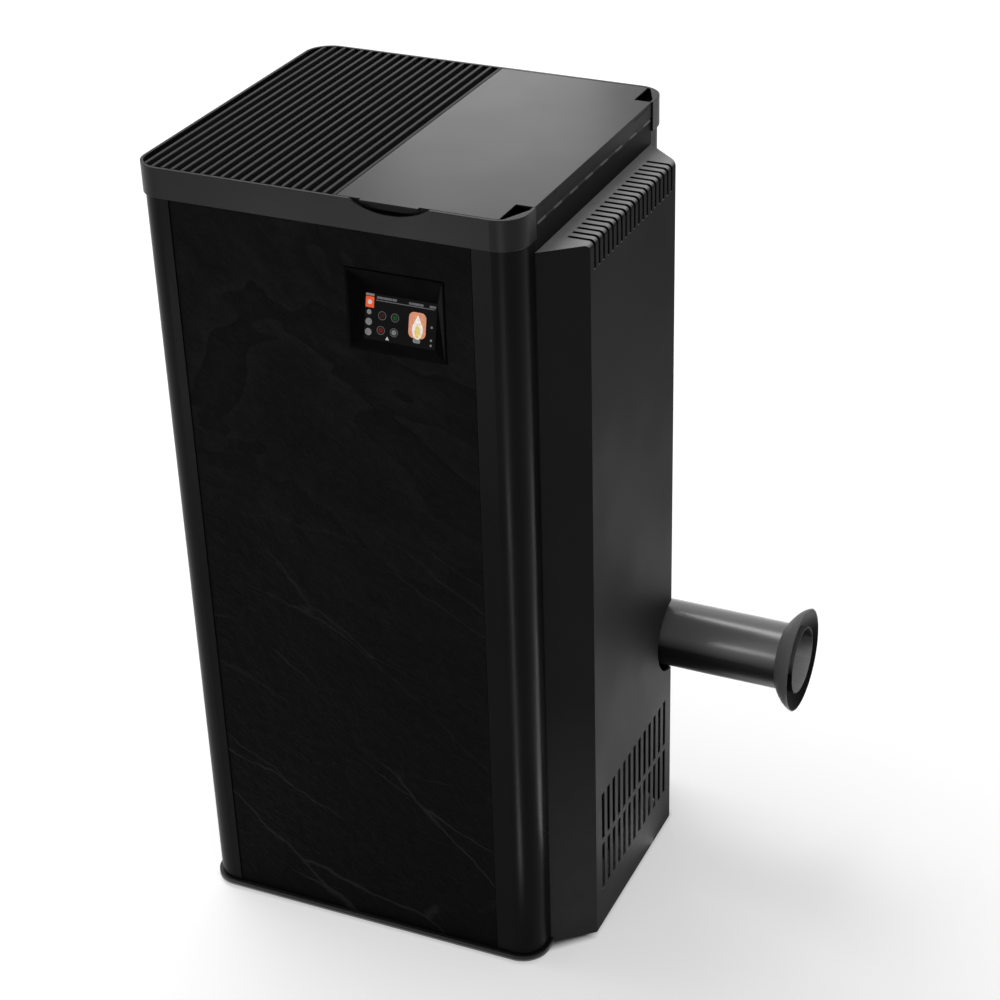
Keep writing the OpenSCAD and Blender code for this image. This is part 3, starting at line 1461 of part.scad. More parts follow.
module door_seal() {
    color([0.6, 0.58, 0.52]) seal_ring(seal_d / 2, door_y1 - seal_d / 2 - 1, frame_y - seat_gap);
}

module door_glass() {
    y0 = door_y1 - 12 - glass_t;
    color([0.1, 0.08, 0.07, 0.6]) window_prism(glass_lap - 1, y0, y0 + glass_t);
}

module glass_clips() {
    y0 = door_y1 - 12;
    x = door_half_w - door_rim;
    z_mid = door_z + door_h / 2;
    color([0.6, 0.6, 0.61]) for (s = [0, 1], z = [-clip_pitch, 0, clip_pitch]) mirror([s, 0, 0]) {
        block([x - 6, y0, z_mid + z - 14], [x + glass_lap - 0.2, y0 + 2, z_mid + z + 14]);
        block([x + glass_lap - 2.2, y0, z_mid + z - 14],
            [x + glass_lap - 0.2, door_y1 + 0.5, z_mid + z + 14]);
        block([x + glass_lap - 2.2, door_y1, z_mid + z - 14],
            [x + glass_lap + 8, door_y1 + 1.5, z_mid + z + 14]);
    }
}

module door_handle() {
    x = door_rim / 2 - door_half_w;
    z_mid = door_z + door_h / 2;
    bar_y = front_y - handle_stand - handle_d / 2;
    color([0.7, 0.7, 0.71]) {
        translate([x, bar_y, z_mid - handle_l / 2]) cylinder(h = handle_l, r = handle_d / 2, $fn = 48);
        for (s = [-1, 1]) rod_y(x, z_mid + s * (handle_l / 2 - 20), handle_post_d / 2, bar_y, front_y, 32);
    }
}

module door_hinges() {
    r = hinge_pin_d / 2;
    arm_t = hinge_notch - 2.5;
    color([0.3, 0.3, 0.31]) hinge_ends() {
        block([hinge_x - 7, front_y, 1], [door_half_w + 0.5, frame_y, 1 + arm_t]);
        translate([hinge_x, hinge_y, arm_t])
            cylinder(h = hinge_notch + hinge_pin_l - arm_t, r = r, $fn = 48);
        translate([hinge_x, hinge_y, arm_t])
            cylinder(h = hinge_notch - arm_t - seat_gap, r = r + 1.5, $fn = 48);
    }
}

module drawer_tray(t) {
    y0 = front_y + front_t;
    block([-drawer_w / 2 + t, y0 + t, drawer_z0 + t],
        [drawer_w / 2 - t, y0 + drawer_l - t, drawer_z0 + drawer_h + (t > 0 ? 1 : 0)]);
}

module ash_drawer() {
    color([0.55, 0.55, 0.56]) difference() {
        drawer_tray(0);
        drawer_tray(drawer_t);
    }
}

module drawer_front() {
    z_mid = (drawer_front_z + door_z - front_gap) / 2;
    color([0.12, 0.12, 0.13]) {
        block([-door_half_w, front_y, drawer_front_z],
            [door_half_w, front_y + front_t, door_z - front_gap]);
        rod_y(0, z_mid, knob_d / 4, front_y - 8, front_y);
        rod_y(0, z_mid, knob_d / 2, front_y - 22, front_y - 8, 64);
    }
}

module drawer_runners() {
    x0 = drawer_w / 2 + seat_gap;
    x1 = x0 + sheet_t;
    z0 = drawer_z0 - seat_gap - sheet_t;
    y1 = front_y + front_t + drawer_l + 6;
    color([0.4, 0.4, 0.41]) for (s = [0, 1]) mirror([s, 0, 0]) {
        block([x0, frame_y + frame_t, z0], [x1, y1, firebox_z]);
        block([x0 - 12, frame_y + frame_t, z0], [x1, y1, z0 + sheet_t]);
        // Stop behind the drawer
        block([x0 - 12, y1 - sheet_t, z0], [x1, y1, z0 + 24]);
    }
}

base_plate();
levelling_feet();
side_casing_right();
side_casing_left();
stone_panel_right();
stone_panel_left();
top_frame();
ribbed_top();
rear_panel();
rear_cover();
front_frame();
lower_front_panel();
warm_air_panel();
firewall();
firebox();
rear_liner();
side_liners();
baffle_plate();
exchanger_tubes();
pot_holder();
igniter();
flame_sensor();
pellet_chute();
hopper();
hopper_funnel();
auger_tube();
auger_motor();
smoke_duct();
exhaust_fan_housing();
exhaust_motor();
flue_pipe();
room_fan_housing();
room_fan_motor();
combustion_air_pipe();
control_board();
display_bezel();
display_screen();
mains_inlet();
safety_thermostat();
lid_hinge_leaf();
lid_hinge_pin();
door_hinges();
drawer_runners();
hopper_lid();
lid_inner_frame();
lid_gasket();
fire_door();
door_glass();
glass_clips();
door_seal();
door_handle();
ash_drawer();
drawer_front();
burn_pot();
auger_screw();
exhaust_fan_wheel();
room_fan_wheel();
power_switch();
reset_button();
wall_rosette();
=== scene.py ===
"""Pellet stove in dark steel and slate, seen from its display side and rear.

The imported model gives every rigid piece. This script gives each one its
finish, and adds the picture on the screen, the floor, the lamps and the camera.
"""
import math

import bpy
from mathutils import Matrix, Vector


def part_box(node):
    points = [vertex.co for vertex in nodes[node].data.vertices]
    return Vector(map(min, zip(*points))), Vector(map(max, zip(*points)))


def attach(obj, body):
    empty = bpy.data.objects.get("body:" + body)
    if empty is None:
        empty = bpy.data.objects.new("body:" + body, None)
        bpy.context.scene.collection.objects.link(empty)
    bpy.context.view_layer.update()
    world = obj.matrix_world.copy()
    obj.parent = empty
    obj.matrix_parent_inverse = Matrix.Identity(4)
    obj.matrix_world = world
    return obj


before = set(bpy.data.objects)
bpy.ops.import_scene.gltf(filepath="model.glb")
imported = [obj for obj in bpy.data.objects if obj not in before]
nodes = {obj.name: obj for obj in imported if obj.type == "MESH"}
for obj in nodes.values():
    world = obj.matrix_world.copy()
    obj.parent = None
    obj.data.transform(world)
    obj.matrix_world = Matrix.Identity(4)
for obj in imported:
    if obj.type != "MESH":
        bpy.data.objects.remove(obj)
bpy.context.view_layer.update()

MM = 0.001

# Slate: the fall of its grain towards the rear, in degrees, the heights over which
# the flakes come in upwards and the veins downwards, and how closely flakes follow
GRAIN_FALL = 29.0
FLAKE_RISE = (0.45, 0.95)
VEIN_DROP = (0.72, 0.48)
FLAKE_COUNT = 8.0

# Grain of a powder coat, and the index of a clear layer over one
POWDER_GRAIN = 900.0
CLEAR_LAYER_IOR = 1.6

# Painted highlight along the lower rim of the base plate, and painted shade round the rim of the
# hopper
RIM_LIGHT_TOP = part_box("base_plate")[0].z + 3.2 * MM
RIM_LIGHT_FADE = 0.8 * MM
HOPPER_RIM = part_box("hopper")[1].z
HOPPER_PAINTED_SHADE = (8 * MM, 6 * MM)

# Axis of the flue pipe in X and Z, the radii between which its bore ends, and
# the heights over its axis where painted shade darkens the bore's upper wall
FLUE_AXIS = (-0.155, 0.346)
BORE_RADII = (48.1 * MM, 48.4 * MM)
BORE_SHADE_RISE = (-5 * MM, 30 * MM)

# Screen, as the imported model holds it
SCREEN_TILT = math.radians(13.0)
SCREEN_W = 100 * MM
SCREEN_H = 60 * MM
SCREEN_T = 3 * MM

# Layers of the picture on it: their heights over the glass, and their own thickness
FIRST_LAYER = 0.02 * MM
SECOND_LAYER = 0.12 * MM
THIRD_LAYER = 0.22 * MM
LAYER_THICK = 0.06 * MM
LAYER_RIM = 0.1 * MM

# Light: the world's strength, the floor's size and tone, and what the floor adds
# to reach white near the stove and far off, with the distances for these two
WORLD_LIGHT = 0.42
FLOOR_SIZE = 24
FLOOR_TONE = 0.62
FLOOR_GLOW = 0.48
FAR_GLOW = 0.72
GLOW_REACH = (1.2, 7.0)
SHEEN_LIFT = 4 * MM

# Floor in the stove's own shade: its half width, its ends in Y, where the
# slanted corners cut it (X plus Y), and its soft edge
SHADE_HALF_WIDTH = 0.240
SHADE_Y = (-0.275, 0.325)
SHADE_CORNER = 0.485
SHADE_EDGE = 0.02

# Camera: a long lens above the corner between the stone side and the rear
CAMERA_PLACE = Vector((2.5603, 1.3270, 2.2352))
CAMERA_AZIMUTH = math.radians(22.4526)      # from +X towards +Y
CAMERA_ELEVATION = math.radians(30.3275)
CAMERA_ROLL = math.radians(-0.4804)
SENSOR_WIDTH = 36.0
FOCAL_PIXELS = 2293.57
PICTURE_SIZE = 1000.0
OPTICAL_AXIS_PIXEL = (600.0, 520.0)
CLIP_RANGE = (0.05, 60)


# Shader help

def new_material(name):
    """An empty node material with its Principled shader and output."""
    material = bpy.data.materials.new(name)
    material.use_nodes = True
    tree = material.node_tree
    tree.nodes.clear()
    output = tree.nodes.new("ShaderNodeOutputMaterial")
    shader = tree.nodes.new("ShaderNodeBsdfPrincipled")
    tree.links.new(shader.outputs["BSDF"], output.inputs["Surface"])
    return material, tree, shader


def shader_of(material):
    return material.node_tree.nodes["Principled BSDF"]


def feed(tree, socket, value):
    """Links another node's output to a socket, or sets a plain value on it."""
    if hasattr(value, "is_linked"):
        tree.links.new(value, socket)
    else:
        socket.default_value = value


def group_tree(name, inputs, outputs):
    """A shader node group. A tuple makes a colour input, and a number a plain one."""
    tree = bpy.data.node_groups.new(name, "ShaderNodeTree")
    for label, value in inputs:
        kind = "NodeSocketColor" if isinstance(value, tuple) else "NodeSocketFloat"
        socket = tree.interface.new_socket(label, in_out="INPUT", socket_type=kind)
        socket.default_value = value
    for label, kind in outputs:
        tree.interface.new_socket(label, in_out="OUTPUT", socket_type=kind)
    return tree, tree.nodes.new("NodeGroupInput"), tree.nodes.new("NodeGroupOutput")


def place_group(tree, group, **values):
    """A group with its own values; an underscore stands for a space in an input's name."""
    node = tree.nodes.new("ShaderNodeGroup")
    node.node_tree = group
    for label, value in values.items():
        node.inputs[label.replace("_", " ")].default_value = value
    return node


def object_coordinates(tree):
    return tree.nodes.new("ShaderNodeTexCoord").outputs["Object"]


def object_axes(tree):
    """The place on the object as its X, Y and Z, in metres."""
    axes = tree.nodes.new("ShaderNodeSeparateXYZ")
    tree.links.new(object_coordinates(tree), axes.inputs["Vector"])
    return axes.outputs


def height_of(tree):
    """Height over the floor, in metres."""
    return object_axes(tree)["Z"]


def object_place(tree, scale=(1, 1, 1), turn=(0, 0, 0)):
    """The place on the object, turned by degrees about each axis and scaled along it."""
    mapping = tree.nodes.new("ShaderNodeMapping")
    mapping.inputs["Scale"].default_value = scale
    mapping.inputs["Rotation"].default_value = [math.radians(angle) for angle in turn]
    tree.links.new(object_coordinates(tree), mapping.inputs["Vector"])
    return mapping.outputs["Vector"]


def stretched(tree, vector, scale):
    """A place scaled by its own amount along each axis."""
    mapping = tree.nodes.new("ShaderNodeMapping")
    mapping.inputs["Scale"].default_value = scale
    tree.links.new(vector, mapping.inputs["Vector"])
    return mapping.outputs["Vector"]


def noise(tree, vector, scale, detail=4.0, roughness=0.55, distortion=0.0, output="Fac"):
    node = tree.nodes.new("ShaderNodeTexNoise")
    tree.links.new(vector, node.inputs["Vector"])
    feed(tree, node.inputs["Scale"], scale)
    node.inputs["Detail"].default_value = detail
    node.inputs["Roughness"].default_value = roughness
    node.inputs["Distortion"].default_value = distortion
    return node.outputs[output]


def math_node(tree, operation, first, second=None, clamp=False):
    node = tree.nodes.new("ShaderNodeMath")
    node.operation = operation
    node.use_clamp = clamp
    feed(tree, node.inputs[0], first)
    if second is not None:
        feed(tree, node.inputs[1], second)
    return node.outputs[0]


def times(tree, first, second):
    return math_node(tree, "MULTIPLY", first, second)


def plus(tree, first, second, clamp=False):
    return math_node(tree, "ADD", first, second, clamp)


def minus(tree, first, second):
    return math_node(tree, "SUBTRACT", first, second)


def spread(tree, value, low, high, to_low=0.0, to_high=1.0):
    """Maps low..high of a value to to_low..to_high, clamped."""
    node = tree.nodes.new("ShaderNodeMapRange")
    tree.links.new(value, node.inputs["Value"])
    feed(tree, node.inputs["From Min"], low)
    feed(tree, node.inputs["From Max"], high)
    feed(tree, node.inputs["To Min"], to_low)
    feed(tree, node.inputs["To Max"], to_high)
    return node.outputs["Result"]


def at_least(tree, mask, least):
    """A mask lifted so that it runs from least to 1."""
    return spread(tree, mask, 0.0, 1.0, least, 1.0)


def blend_colours(tree, mask, first, second):
    """The first colour where the mask is 0, and the second where it is 1."""
    node = tree.nodes.new("ShaderNodeMix")
    node.data_type = "RGBA"
    # The node keeps number, vector and colour sockets; 6, 7 and output 2 are the colours
    feed(tree, node.inputs["Factor"], mask)
    feed(tree, node.inputs[6], first)
    feed(tree, node.inputs[7], second)
    return node.outputs[2]


def relief(tree, height, strength, distance, normal=None):
    bump = tree.nodes.new("ShaderNodeBump")
    bump.inputs["Strength"].default_value = strength
    bump.inputs["Distance"].default_value = distance
    tree.links.new(height, bump.inputs["Height"])
    if normal is not None:
        tree.links.new(normal, bump.inputs["Normal"])
    return bump.outputs["Normal"]


def facing(tree, axis):
    """How far a face looks along an axis, from -1 to 1."""
    axes = tree.nodes.new("ShaderNodeSeparateXYZ")
    geometry = tree.nodes.new("ShaderNodeNewGeometry")
    tree.links.new(geometry.outputs["Normal"], axes.inputs["Vector"])
    return axes.outputs[axis]


def facing_up(tree, share=1.0):
    """The share on faces that look upwards, 0 on upright ones."""
    return spread(tree, facing(tree, "Z"), 0.35, 0.9, 0.0, share)


def grey(value, warm=0.0):
    return (value * (1 + warm), value, value * (1 - warm), 1.0)


# Node groups

FINISH_OUTPUTS = (
    ("Color", "NodeSocketColor"),
    ("Roughness", "NodeSocketFloat"),
    ("Height", "NodeSocketFloat"),
)


def put_out(tree, sink, colour, roughness, height):
    """Links a finish group's three results to its outputs."""
    tree.links.new(colour, sink.inputs["Color"])
    tree.links.new(roughness, sink.inputs["Roughness"])
    tree.links.new(height, sink.inputs["Height"])


def two_tones(tree, source, mask):
    """The group's dark colour where the mask is 0, and its light one where it is 1."""
    return blend_colours(tree, mask, source.outputs["Dark"], source.outputs["Light"])


def uneven_matt(tree, source, value, limits, shifts):
    """The group's roughness, shifted as the value goes from one limit to the other."""
    return plus(tree, source.outputs["Matt"], spread(tree, value, *limits, *shifts), clamp=True)


def make_soft_edges():
    """Rounds the look of sharp edges, so that they catch the light."""
    tree, source, sink = group_tree(
        "soft_edges", [("Radius", 1 * MM)], [("Normal", "NodeSocketVector")])
    bevel = tree.nodes.new("ShaderNodeBevel")
    bevel.samples = 4
    tree.links.new(source.outputs["Radius"], bevel.inputs["Radius"])
    tree.links.new(bevel.outputs["Normal"], sink.inputs["Normal"])
    return tree


def make_powder_coat():
    """Fine grain of a baked powder coat, with faint clouds in its tone."""
    tree, source, sink = group_tree(
        "powder_coat",
        [("Dark", grey(0.02)), ("Light", grey(0.03)), ("Grain Scale", POWDER_GRAIN),
         ("Matt", 0.5)],
        FINISH_OUTPUTS,
    )
    place = object_place(tree)
    grain = noise(tree, place, source.outputs["Grain Scale"], detail=3.0, roughness=0.6)
    clouds = noise(tree, place, scale=7.0, detail=3.0, roughness=0.5)
    mask = spread(tree, plus(tree, times(tree, grain, 0.5), times(tree, clouds, 0.5)), 0.35, 0.65)
    matt = uneven_matt(tree, source, clouds, limits=(0.3, 0.7), shifts=(-0.05, 0.05))
    put_out(tree, sink, two_tones(tree, source, mask), matt, grain)
    return tree


def slate_flakes(tree, grain_place, upper):
    """Overlapping flakes: each fades from a pale edge to the dark foot of the next one, as
    painted light and shade of their ledges.
    """
    slow = noise(tree, stretched(tree, grain_place, (1.0, 0.55, 1.0)),
                 scale=4.2, detail=3.0, roughness=0.50, distortion=0.9)
    flake = math_node(tree, "FRACT", times(tree, slow, FLAKE_COUNT))
    mottle = spread(tree, noise(tree, stretched(tree, grain_place, (1.0, 0.7, 1.0)),
                                scale=34.0, detail=6.0, roughness=0.68), 0.40, 0.66)
    # Pale flake edges and dark feet: painted shade of the ledges, mixed with the mottling
    light = times(tree, spread(tree, flake, 0.15, 1.0), at_least(tree, mottle, 0.35))
    return flake, mottle, times(tree, light, at_least(tree, upper, 0.12))


def slate_veins(tree, grain_place, lower):
    """Long thin cracks of a drawn-out, rippled cell pattern, open in some places only."""
    ripple = noise(tree, grain_place, scale=16.0, detail=4.0, roughness=0.5, output="Color")
    shift = tree.nodes.new("ShaderNodeVectorMath")
    shift.operation = "MULTIPLY_ADD"
    tree.links.new(ripple, shift.inputs[0])
    shift.inputs[1].default_value = (0.0, 30 * MM, 30 * MM)
    tree.links.new(grain_place, shift.inputs[2])
    cells = tree.nodes.new("ShaderNodeTexVoronoi")
    cells.feature = "DISTANCE_TO_EDGE"
    cells.inputs["Scale"].default_value = 1.0
    drawn_out = stretched(tree, shift.outputs["Vector"], (1.0, 2.3, 11.0))
    tree.links.new(drawn_out, cells.inputs["Vector"])
    width = spread(tree, noise(tree, grain_place, scale=11.0, detail=2.0, roughness=0.5),
                   0.35, 0.65, 0.006, 0.026)
    line = spread(tree, cells.outputs["Distance"], 0.0, width, 1.0, 0.0)
    patches = spread(tree, noise(tree, stretched(tree, grain_place, (1.0, 0.6, 1.6)),
                                 scale=6.5, detail=2.0, roughness=0.5), 0.41, 0.56)
    return times(tree, times(tree, line, patches), lower)


def make_split_slate():
    """Cleft slate: flakes with painted ledge shade and mottling high up, pale slanting hair veins
    lower down.
    """
    tree, source, sink = group_tree(
        "split_slate",
        [("Base", grey(0.003)), ("Cloud", grey(0.008)), ("Vein", grey(0.05))],
        FINISH_OUTPUTS,
    )
    over_floor = height_of(tree)
    upper = spread(tree, over_floor, *FLAKE_RISE)
    lower = spread(tree, over_floor, *VEIN_DROP)
    # The rock's grain falls towards the rear, and all its marks are drawn out along it
    grain_place = object_place(tree, turn=(GRAIN_FALL, 0, 0))
    fine = noise(tree, grain_place, scale=95.0, detail=5.0, roughness=0.60)
    flake, mottle, ledge_shade_and_mottle_mask = slate_flakes(tree, grain_place, upper)
    veins = slate_veins(tree, grain_place, lower)
    shaded_and_mottled = blend_colours(tree, ledge_shade_and_mottle_mask, source.outputs["Base"], source.outputs["Cloud"])
    colour = blend_colours(tree, veins, shaded_and_mottled, source.outputs["Vein"])
    ledges = times(tree, flake, at_least(tree, upper, 0.15))
    body = plus(tree, times(tree, ledges, 0.35), times(tree, mottle, 0.25))
    height = plus(tree, body, times(tree, fine, 0.10))
    put_out(tree, sink, colour, spread(tree, fine, 0.3, 0.7, 0.44, 0.62), height)
    return tree


def make_metal_lines():
    """Rolling lines and spangle of bare or zinc-coated sheet."""
    tree, source, sink = group_tree(
        "metal_lines",
        [("Dark", grey(0.3)), ("Light", grey(0.5)), ("Lines", 1.0), ("Spangle", 0.5),
         ("Matt", 0.35)],
        FINISH_OUTPUTS,
    )
    lines = noise(tree, object_place(tree, scale=(6, 6, 700)),
                  scale=1.0, detail=3.0, roughness=0.6)
    cells = tree.nodes.new("ShaderNodeTexVoronoi")
    cells.inputs["Scale"].default_value = 85.0
    tree.links.new(object_place(tree), cells.inputs["Vector"])
    spangle = tree.nodes.new("ShaderNodeSeparateColor")
    tree.links.new(cells.outputs["Color"], spangle.inputs["Color"])
    mixed = plus(tree, times(tree, lines, source.outputs["Lines"]),
                 times(tree, spangle.outputs[0], source.outputs["Spangle"]))
    limits = (0.2, 1.2)
    matt = uneven_matt(tree, source, mixed, limits, shifts=(-0.08, 0.1))
    put_out(tree, sink, two_tones(tree, source, spread(tree, mixed, *limits)), matt, lines)
    return tree


def make_cast_grain():
    """Sandy grain of cast iron, board and foam, with darker patches."""
    tree, source, sink = group_tree(
        "cast_grain",
        [("Dark", grey(0.02)), ("Light", grey(0.05)), ("Grain Scale", 350.0),
         ("Patch Scale", 12.0), ("Matt", 0.8)],
        FINISH_OUTPUTS,
    )
    place = object_place(tree)
    grain = noise(tree, place, source.outputs["Grain Scale"], detail=4.0, roughness=0.7)
    patches = noise(tree, place, source.outputs["Patch Scale"], detail=5.0, roughness=0.6)
    mask = spread(tree, times(tree, grain, patches), 0.12, 0.4)
    matt = uneven_matt(tree, source, patches, limits=(0.3, 0.7), shifts=(-0.1, 0.08))
    put_out(tree, sink, two_tones(tree, source, mask), matt, grain)
    return tree


SOFT_EDGES = make_soft_edges()
POWDER_COAT = make_powder_coat()
SPLIT_SLATE = make_split_slate()
METAL_LINES = make_metal_lines()
CAST_GRAIN = make_cast_grain()


# Finishes

def relief_on_edges(tree, shader, height, strength, distance, edge):
    """Relief over edges whose look is rounded by that radius."""
    edges = place_group(tree, SOFT_EDGES, Radius=edge)
    bumped = relief(tree, height, strength, distance, edges.outputs["Normal"])
    tree.links.new(bumped, shader.inputs["Normal"])


def finish_from(name, group, bump, edge, metallic=0.0, specular=0.5, **values):
    """A material whose colour, roughness and relief come from one group."""
    material, tree, shader = new_material(name)
    effect = place_group(tree, group, **values)
    tree.links.new(effect.outputs["Color"], shader.inputs["Base Color"])
    tree.links.new(effect.outputs["Roughness"], shader.inputs["Roughness"])
    shader.inputs["Metallic"].default_value = metallic
    shader.inputs["Specular IOR Level"].default_value = specular
    relief_on_edges(tree, shader, effect.outputs["Height"], *bump, edge)
    return material


def coat(name, dark, light, matt, edge=1.2 * MM, grain=0.12, specular=0.5):
    return finish_from(
        name, POWDER_COAT, bump=(grain, 0.4 * MM), edge=edge, specular=specular,
        Dark=grey(dark), Light=grey(light), Grain_Scale=POWDER_GRAIN, Matt=matt)


def sheet_metal(name, dark, light, lines, spangle, matt):
    return finish_from(
        name, METAL_LINES, bump=(0.08, 0.2 * MM), edge=0.6 * MM, metallic=1.0,
        Dark=grey(dark), Light=grey(light), Lines=lines, Spangle=spangle, Matt=matt)


def rough_cast(name, dark, light, grain, matt, bump, warm=0.0, patches=12.0):
    return finish_from(
        name, CAST_GRAIN, bump=(bump, 0.8 * MM), edge=1.2 * MM, specular=0.4,
        Dark=grey(dark, warm), Light=grey(light, warm), Grain_Scale=grain,
        Patch_Scale=patches, Matt=matt)


def tint_where(material, mask, colour):
    """Changes a finish's colour where the mask is 1."""
    tree, base = material.node_tree, shader_of(material).inputs["Base Color"]
    tree.links.new(blend_colours(tree, mask, base.links[0].from_socket, colour), base)
    return material


def clear_layer(tree, shader, weight, roughness):
    """A clear layer over a finish, as strong as the weight says from place to place."""
    tree.links.new(weight, shader.inputs["Coat Weight"])
    shader.inputs["Coat Roughness"].default_value = roughness
    shader.inputs["Coat IOR"].default_value = CLEAR_LAYER_IOR


def lid_finish():
    """Smooth coat with a clear layer on top of the lid, and dull on its folded edges."""
    material = coat("lid_coat", dark=0.008, light=0.012, matt=0.45, edge=1.6 * MM,
                    specular=0.06)
    tree = material.node_tree
    clear_layer(tree, shader_of(material), facing_up(tree, share=0.31), roughness=0.22)
    return material


def cover_finish():
    """Fine coat, with painted light on the faces that look upwards, and fainter painted light
    towards the floor, both a little patchy.
    """
    painted_cover_top_light, painted_cover_foot_light = grey(0.34), grey(0.060)
    material = coat("cover_coat", dark=0.014, light=0.019, matt=0.66, specular=0.030)
    tree = material.node_tree
    blotches = noise(tree, object_place(tree), scale=30.0, detail=5.0, roughness=0.6)
    patchy_share = spread(tree, blotches, 0.2, 0.8, 0.75, 1.0)
    low_down = spread(tree, height_of(tree), 0.42, 0.04)
    # Paler towards the floor: painted light
    tint_where(material, times(tree, low_down, patchy_share), painted_cover_foot_light)
    # Pale on the faces that look upwards: painted light
    return tint_where(material, times(tree, facing_up(tree), patchy_share), painted_cover_top_light)


def slate_finish():
    return finish_from(
        "slate", SPLIT_SLATE, bump=(0.7, 7 * MM), edge=1 * MM, specular=0.03,
        Base=grey(0.0020), Cloud=grey(0.0100), Vein=grey(0.019))


def pipe_finish():
    """Satin enamel outside, with a painted highlight and a clear layer on the upper side;
    bare grey steel in the bore, its upper wall darkened as painted shade; a rough cut end."""
    painted_pipe_top_light, painted_bore_shade = grey(0.14), grey(0.03)
    material, tree, shader = new_material("pipe_enamel")
    enamel = place_group(tree, POWDER_COAT, Dark=grey(0.007), Light=grey(0.010),
                         Grain_Scale=POWDER_GRAIN, Matt=0.30)
    steel = place_group(tree, METAL_LINES, Dark=grey(0.50), Light=grey(0.80),
                        Lines=0.8, Spangle=0.1, Matt=0.42)
    axes = object_axes(tree)
    across = minus(tree, axes["X"], FLUE_AXIS[0])
    upwards = minus(tree, axes["Z"], FLUE_AXIS[1])
    squares = plus(tree, times(tree, across, across), times(tree, upwards, upwards))
    bore = spread(tree, math_node(tree, "SQRT", squares), *BORE_RADII, 1.0, 0.0)
    outside = minus(tree, 1.0, bore)
    upper = spread(tree, facing(tree, "Z"), 0.08, 0.45)

    ragged = times(tree, noise(tree, object_place(tree), scale=25.0), 30 * MM)
    # Darker on the upper wall of the bore: painted shade
    bore_shade = spread(tree, plus(tree, upwards, ragged), *BORE_SHADE_RISE)
    wall = blend_colours(tree, bore_shade, steel.outputs["Color"], painted_bore_shade)
    # Paler on the upper side of the pipe: painted highlight
    pipe_with_painted_light = blend_colours(tree, upper, enamel.outputs["Color"], painted_pipe_top_light)
    tree.links.new(blend_colours(tree, bore, pipe_with_painted_light, wall), shader.inputs["Base Color"])
    cut_end = spread(tree, facing(tree, "Y"), 0.5, 0.8, 0.0, 0.5)
    matt = spread(tree, bore, 0.0, 1.0, enamel.outputs["Roughness"], steel.outputs["Roughness"])
    tree.links.new(plus(tree, matt, cut_end, clamp=True), shader.inputs["Roughness"])
    shader.inputs["Specular IOR Level"].default_value = 0.06
    clear_layer(tree, shader, times(tree, upper, outside), roughness=0.25)
    relief_on_edges(tree, shader, enamel.outputs["Height"], 0.05, 0.4 * MM, edge=1 * MM)
    return material


def hopper_finish():
    """Zinc inside, with painted shade that blackens the rim under the lid."""
    material = sheet_metal("hopper_zinc", **ZINC)
    tree = material.node_tree
    # Black near the top of the hopper: painted shade under the lid
    start, full = (HOPPER_RIM - depth for depth in HOPPER_PAINTED_SHADE)
    return tint_where(material, spread(tree, height_of(tree), start, full), grey(0.003))


def plate_finish():
    """Dark coat, with a painted highlight along the lower rim."""
    material = coat("plate_coat", dark=0.006, light=0.010, matt=0.40, edge=2 * MM,
                    specular=0.3)
    tree = material.node_tree
    # Pale band along the lowest millimetres: painted highlight of the lip's edge
    painted_rim_light = spread(tree, height_of(tree), RIM_LIGHT_TOP, RIM_LIGHT_TOP - RIM_LIGHT_FADE)
    return tint_where(material, painted_rim_light, grey(0.26))


def rosette_finish():
    """Dark coat on the face; the flank behind it is paler, as a painted reflection."""
    material = coat("rosette_coat", dark=0.003, light=0.005, matt=0.46, edge=0.8 * MM,
                    specular=0.06)
    tree = material.node_tree
    # Paler on the flank that faces the stove: painted reflection
    return tint_where(material, spread(tree, facing(tree, "Y"), -0.05, -0.35), grey(0.17))


def moulded_plastic(name, colour, matt, coat_weight=0.0, specular=0.5):
    """Plastic with a fine grain, and a slightly lighter tone in places."""
    material, tree, shader = new_material(name)
    shader.inputs["Specular IOR Level"].default_value = specular
    shader.inputs["Coat Weight"].default_value = coat_weight
    place = object_place(tree)
    grain = noise(tree, place, scale=1400.0, detail=2.0, roughness=0.5)
    tone = spread(tree, noise(tree, place, scale=40.0, detail=2.0, roughness=0.5), 0.3, 0.7)
    lighter = tuple(min(1.0, part * 1.25 + 0.002) for part in colour[:3]) + (1.0,)
    tree.links.new(blend_colours(tree, tone, colour, lighter), shader.inputs["Base Color"])
    roughness = spread(tree, grain, 0.3, 0.7, matt - 0.06, matt + 0.06)
    tree.links.new(roughness, shader.inputs["Roughness"])
    relief_on_edges(tree, shader, grain, 0.06, 0.2 * MM, edge=0.5 * MM)
    return material


def bezel_finish():
    """Black plastic; the wall of the recess that stands nearest the corner is paler, as painted
    light.
    """
    material = moulded_plastic("bezel_plastic", (0.0006, 0.0006, 0.0007, 1), matt=0.34,
                               specular=0.012)
    tree = material.node_tree
    # Paler on the recess wall that faces towards -Y: painted light
    return tint_where(material, spread(tree, facing(tree, "Y"), -0.15, -0.45), grey(0.024))


def glass_finish(name, colour, alpha, roughness, specular=0.5):
    """Smeared dark glass; with an alpha below 1, a little of what is behind it shows."""
    material, tree, shader = new_material(name)
    shader.inputs["Base Color"].default_value = colour
    shader.inputs["Alpha"].default_value = alpha
    shader.inputs["Specular IOR Level"].default_value = specular
    smears = noise(tree, object_place(tree, scale=(1, 1, 3)), scale=9.0, roughness=0.6)
    uneven = spread(tree, smears, 0.4, 0.7, roughness, roughness + 0.08)
    tree.links.new(uneven, shader.inputs["Roughness"])
    return material


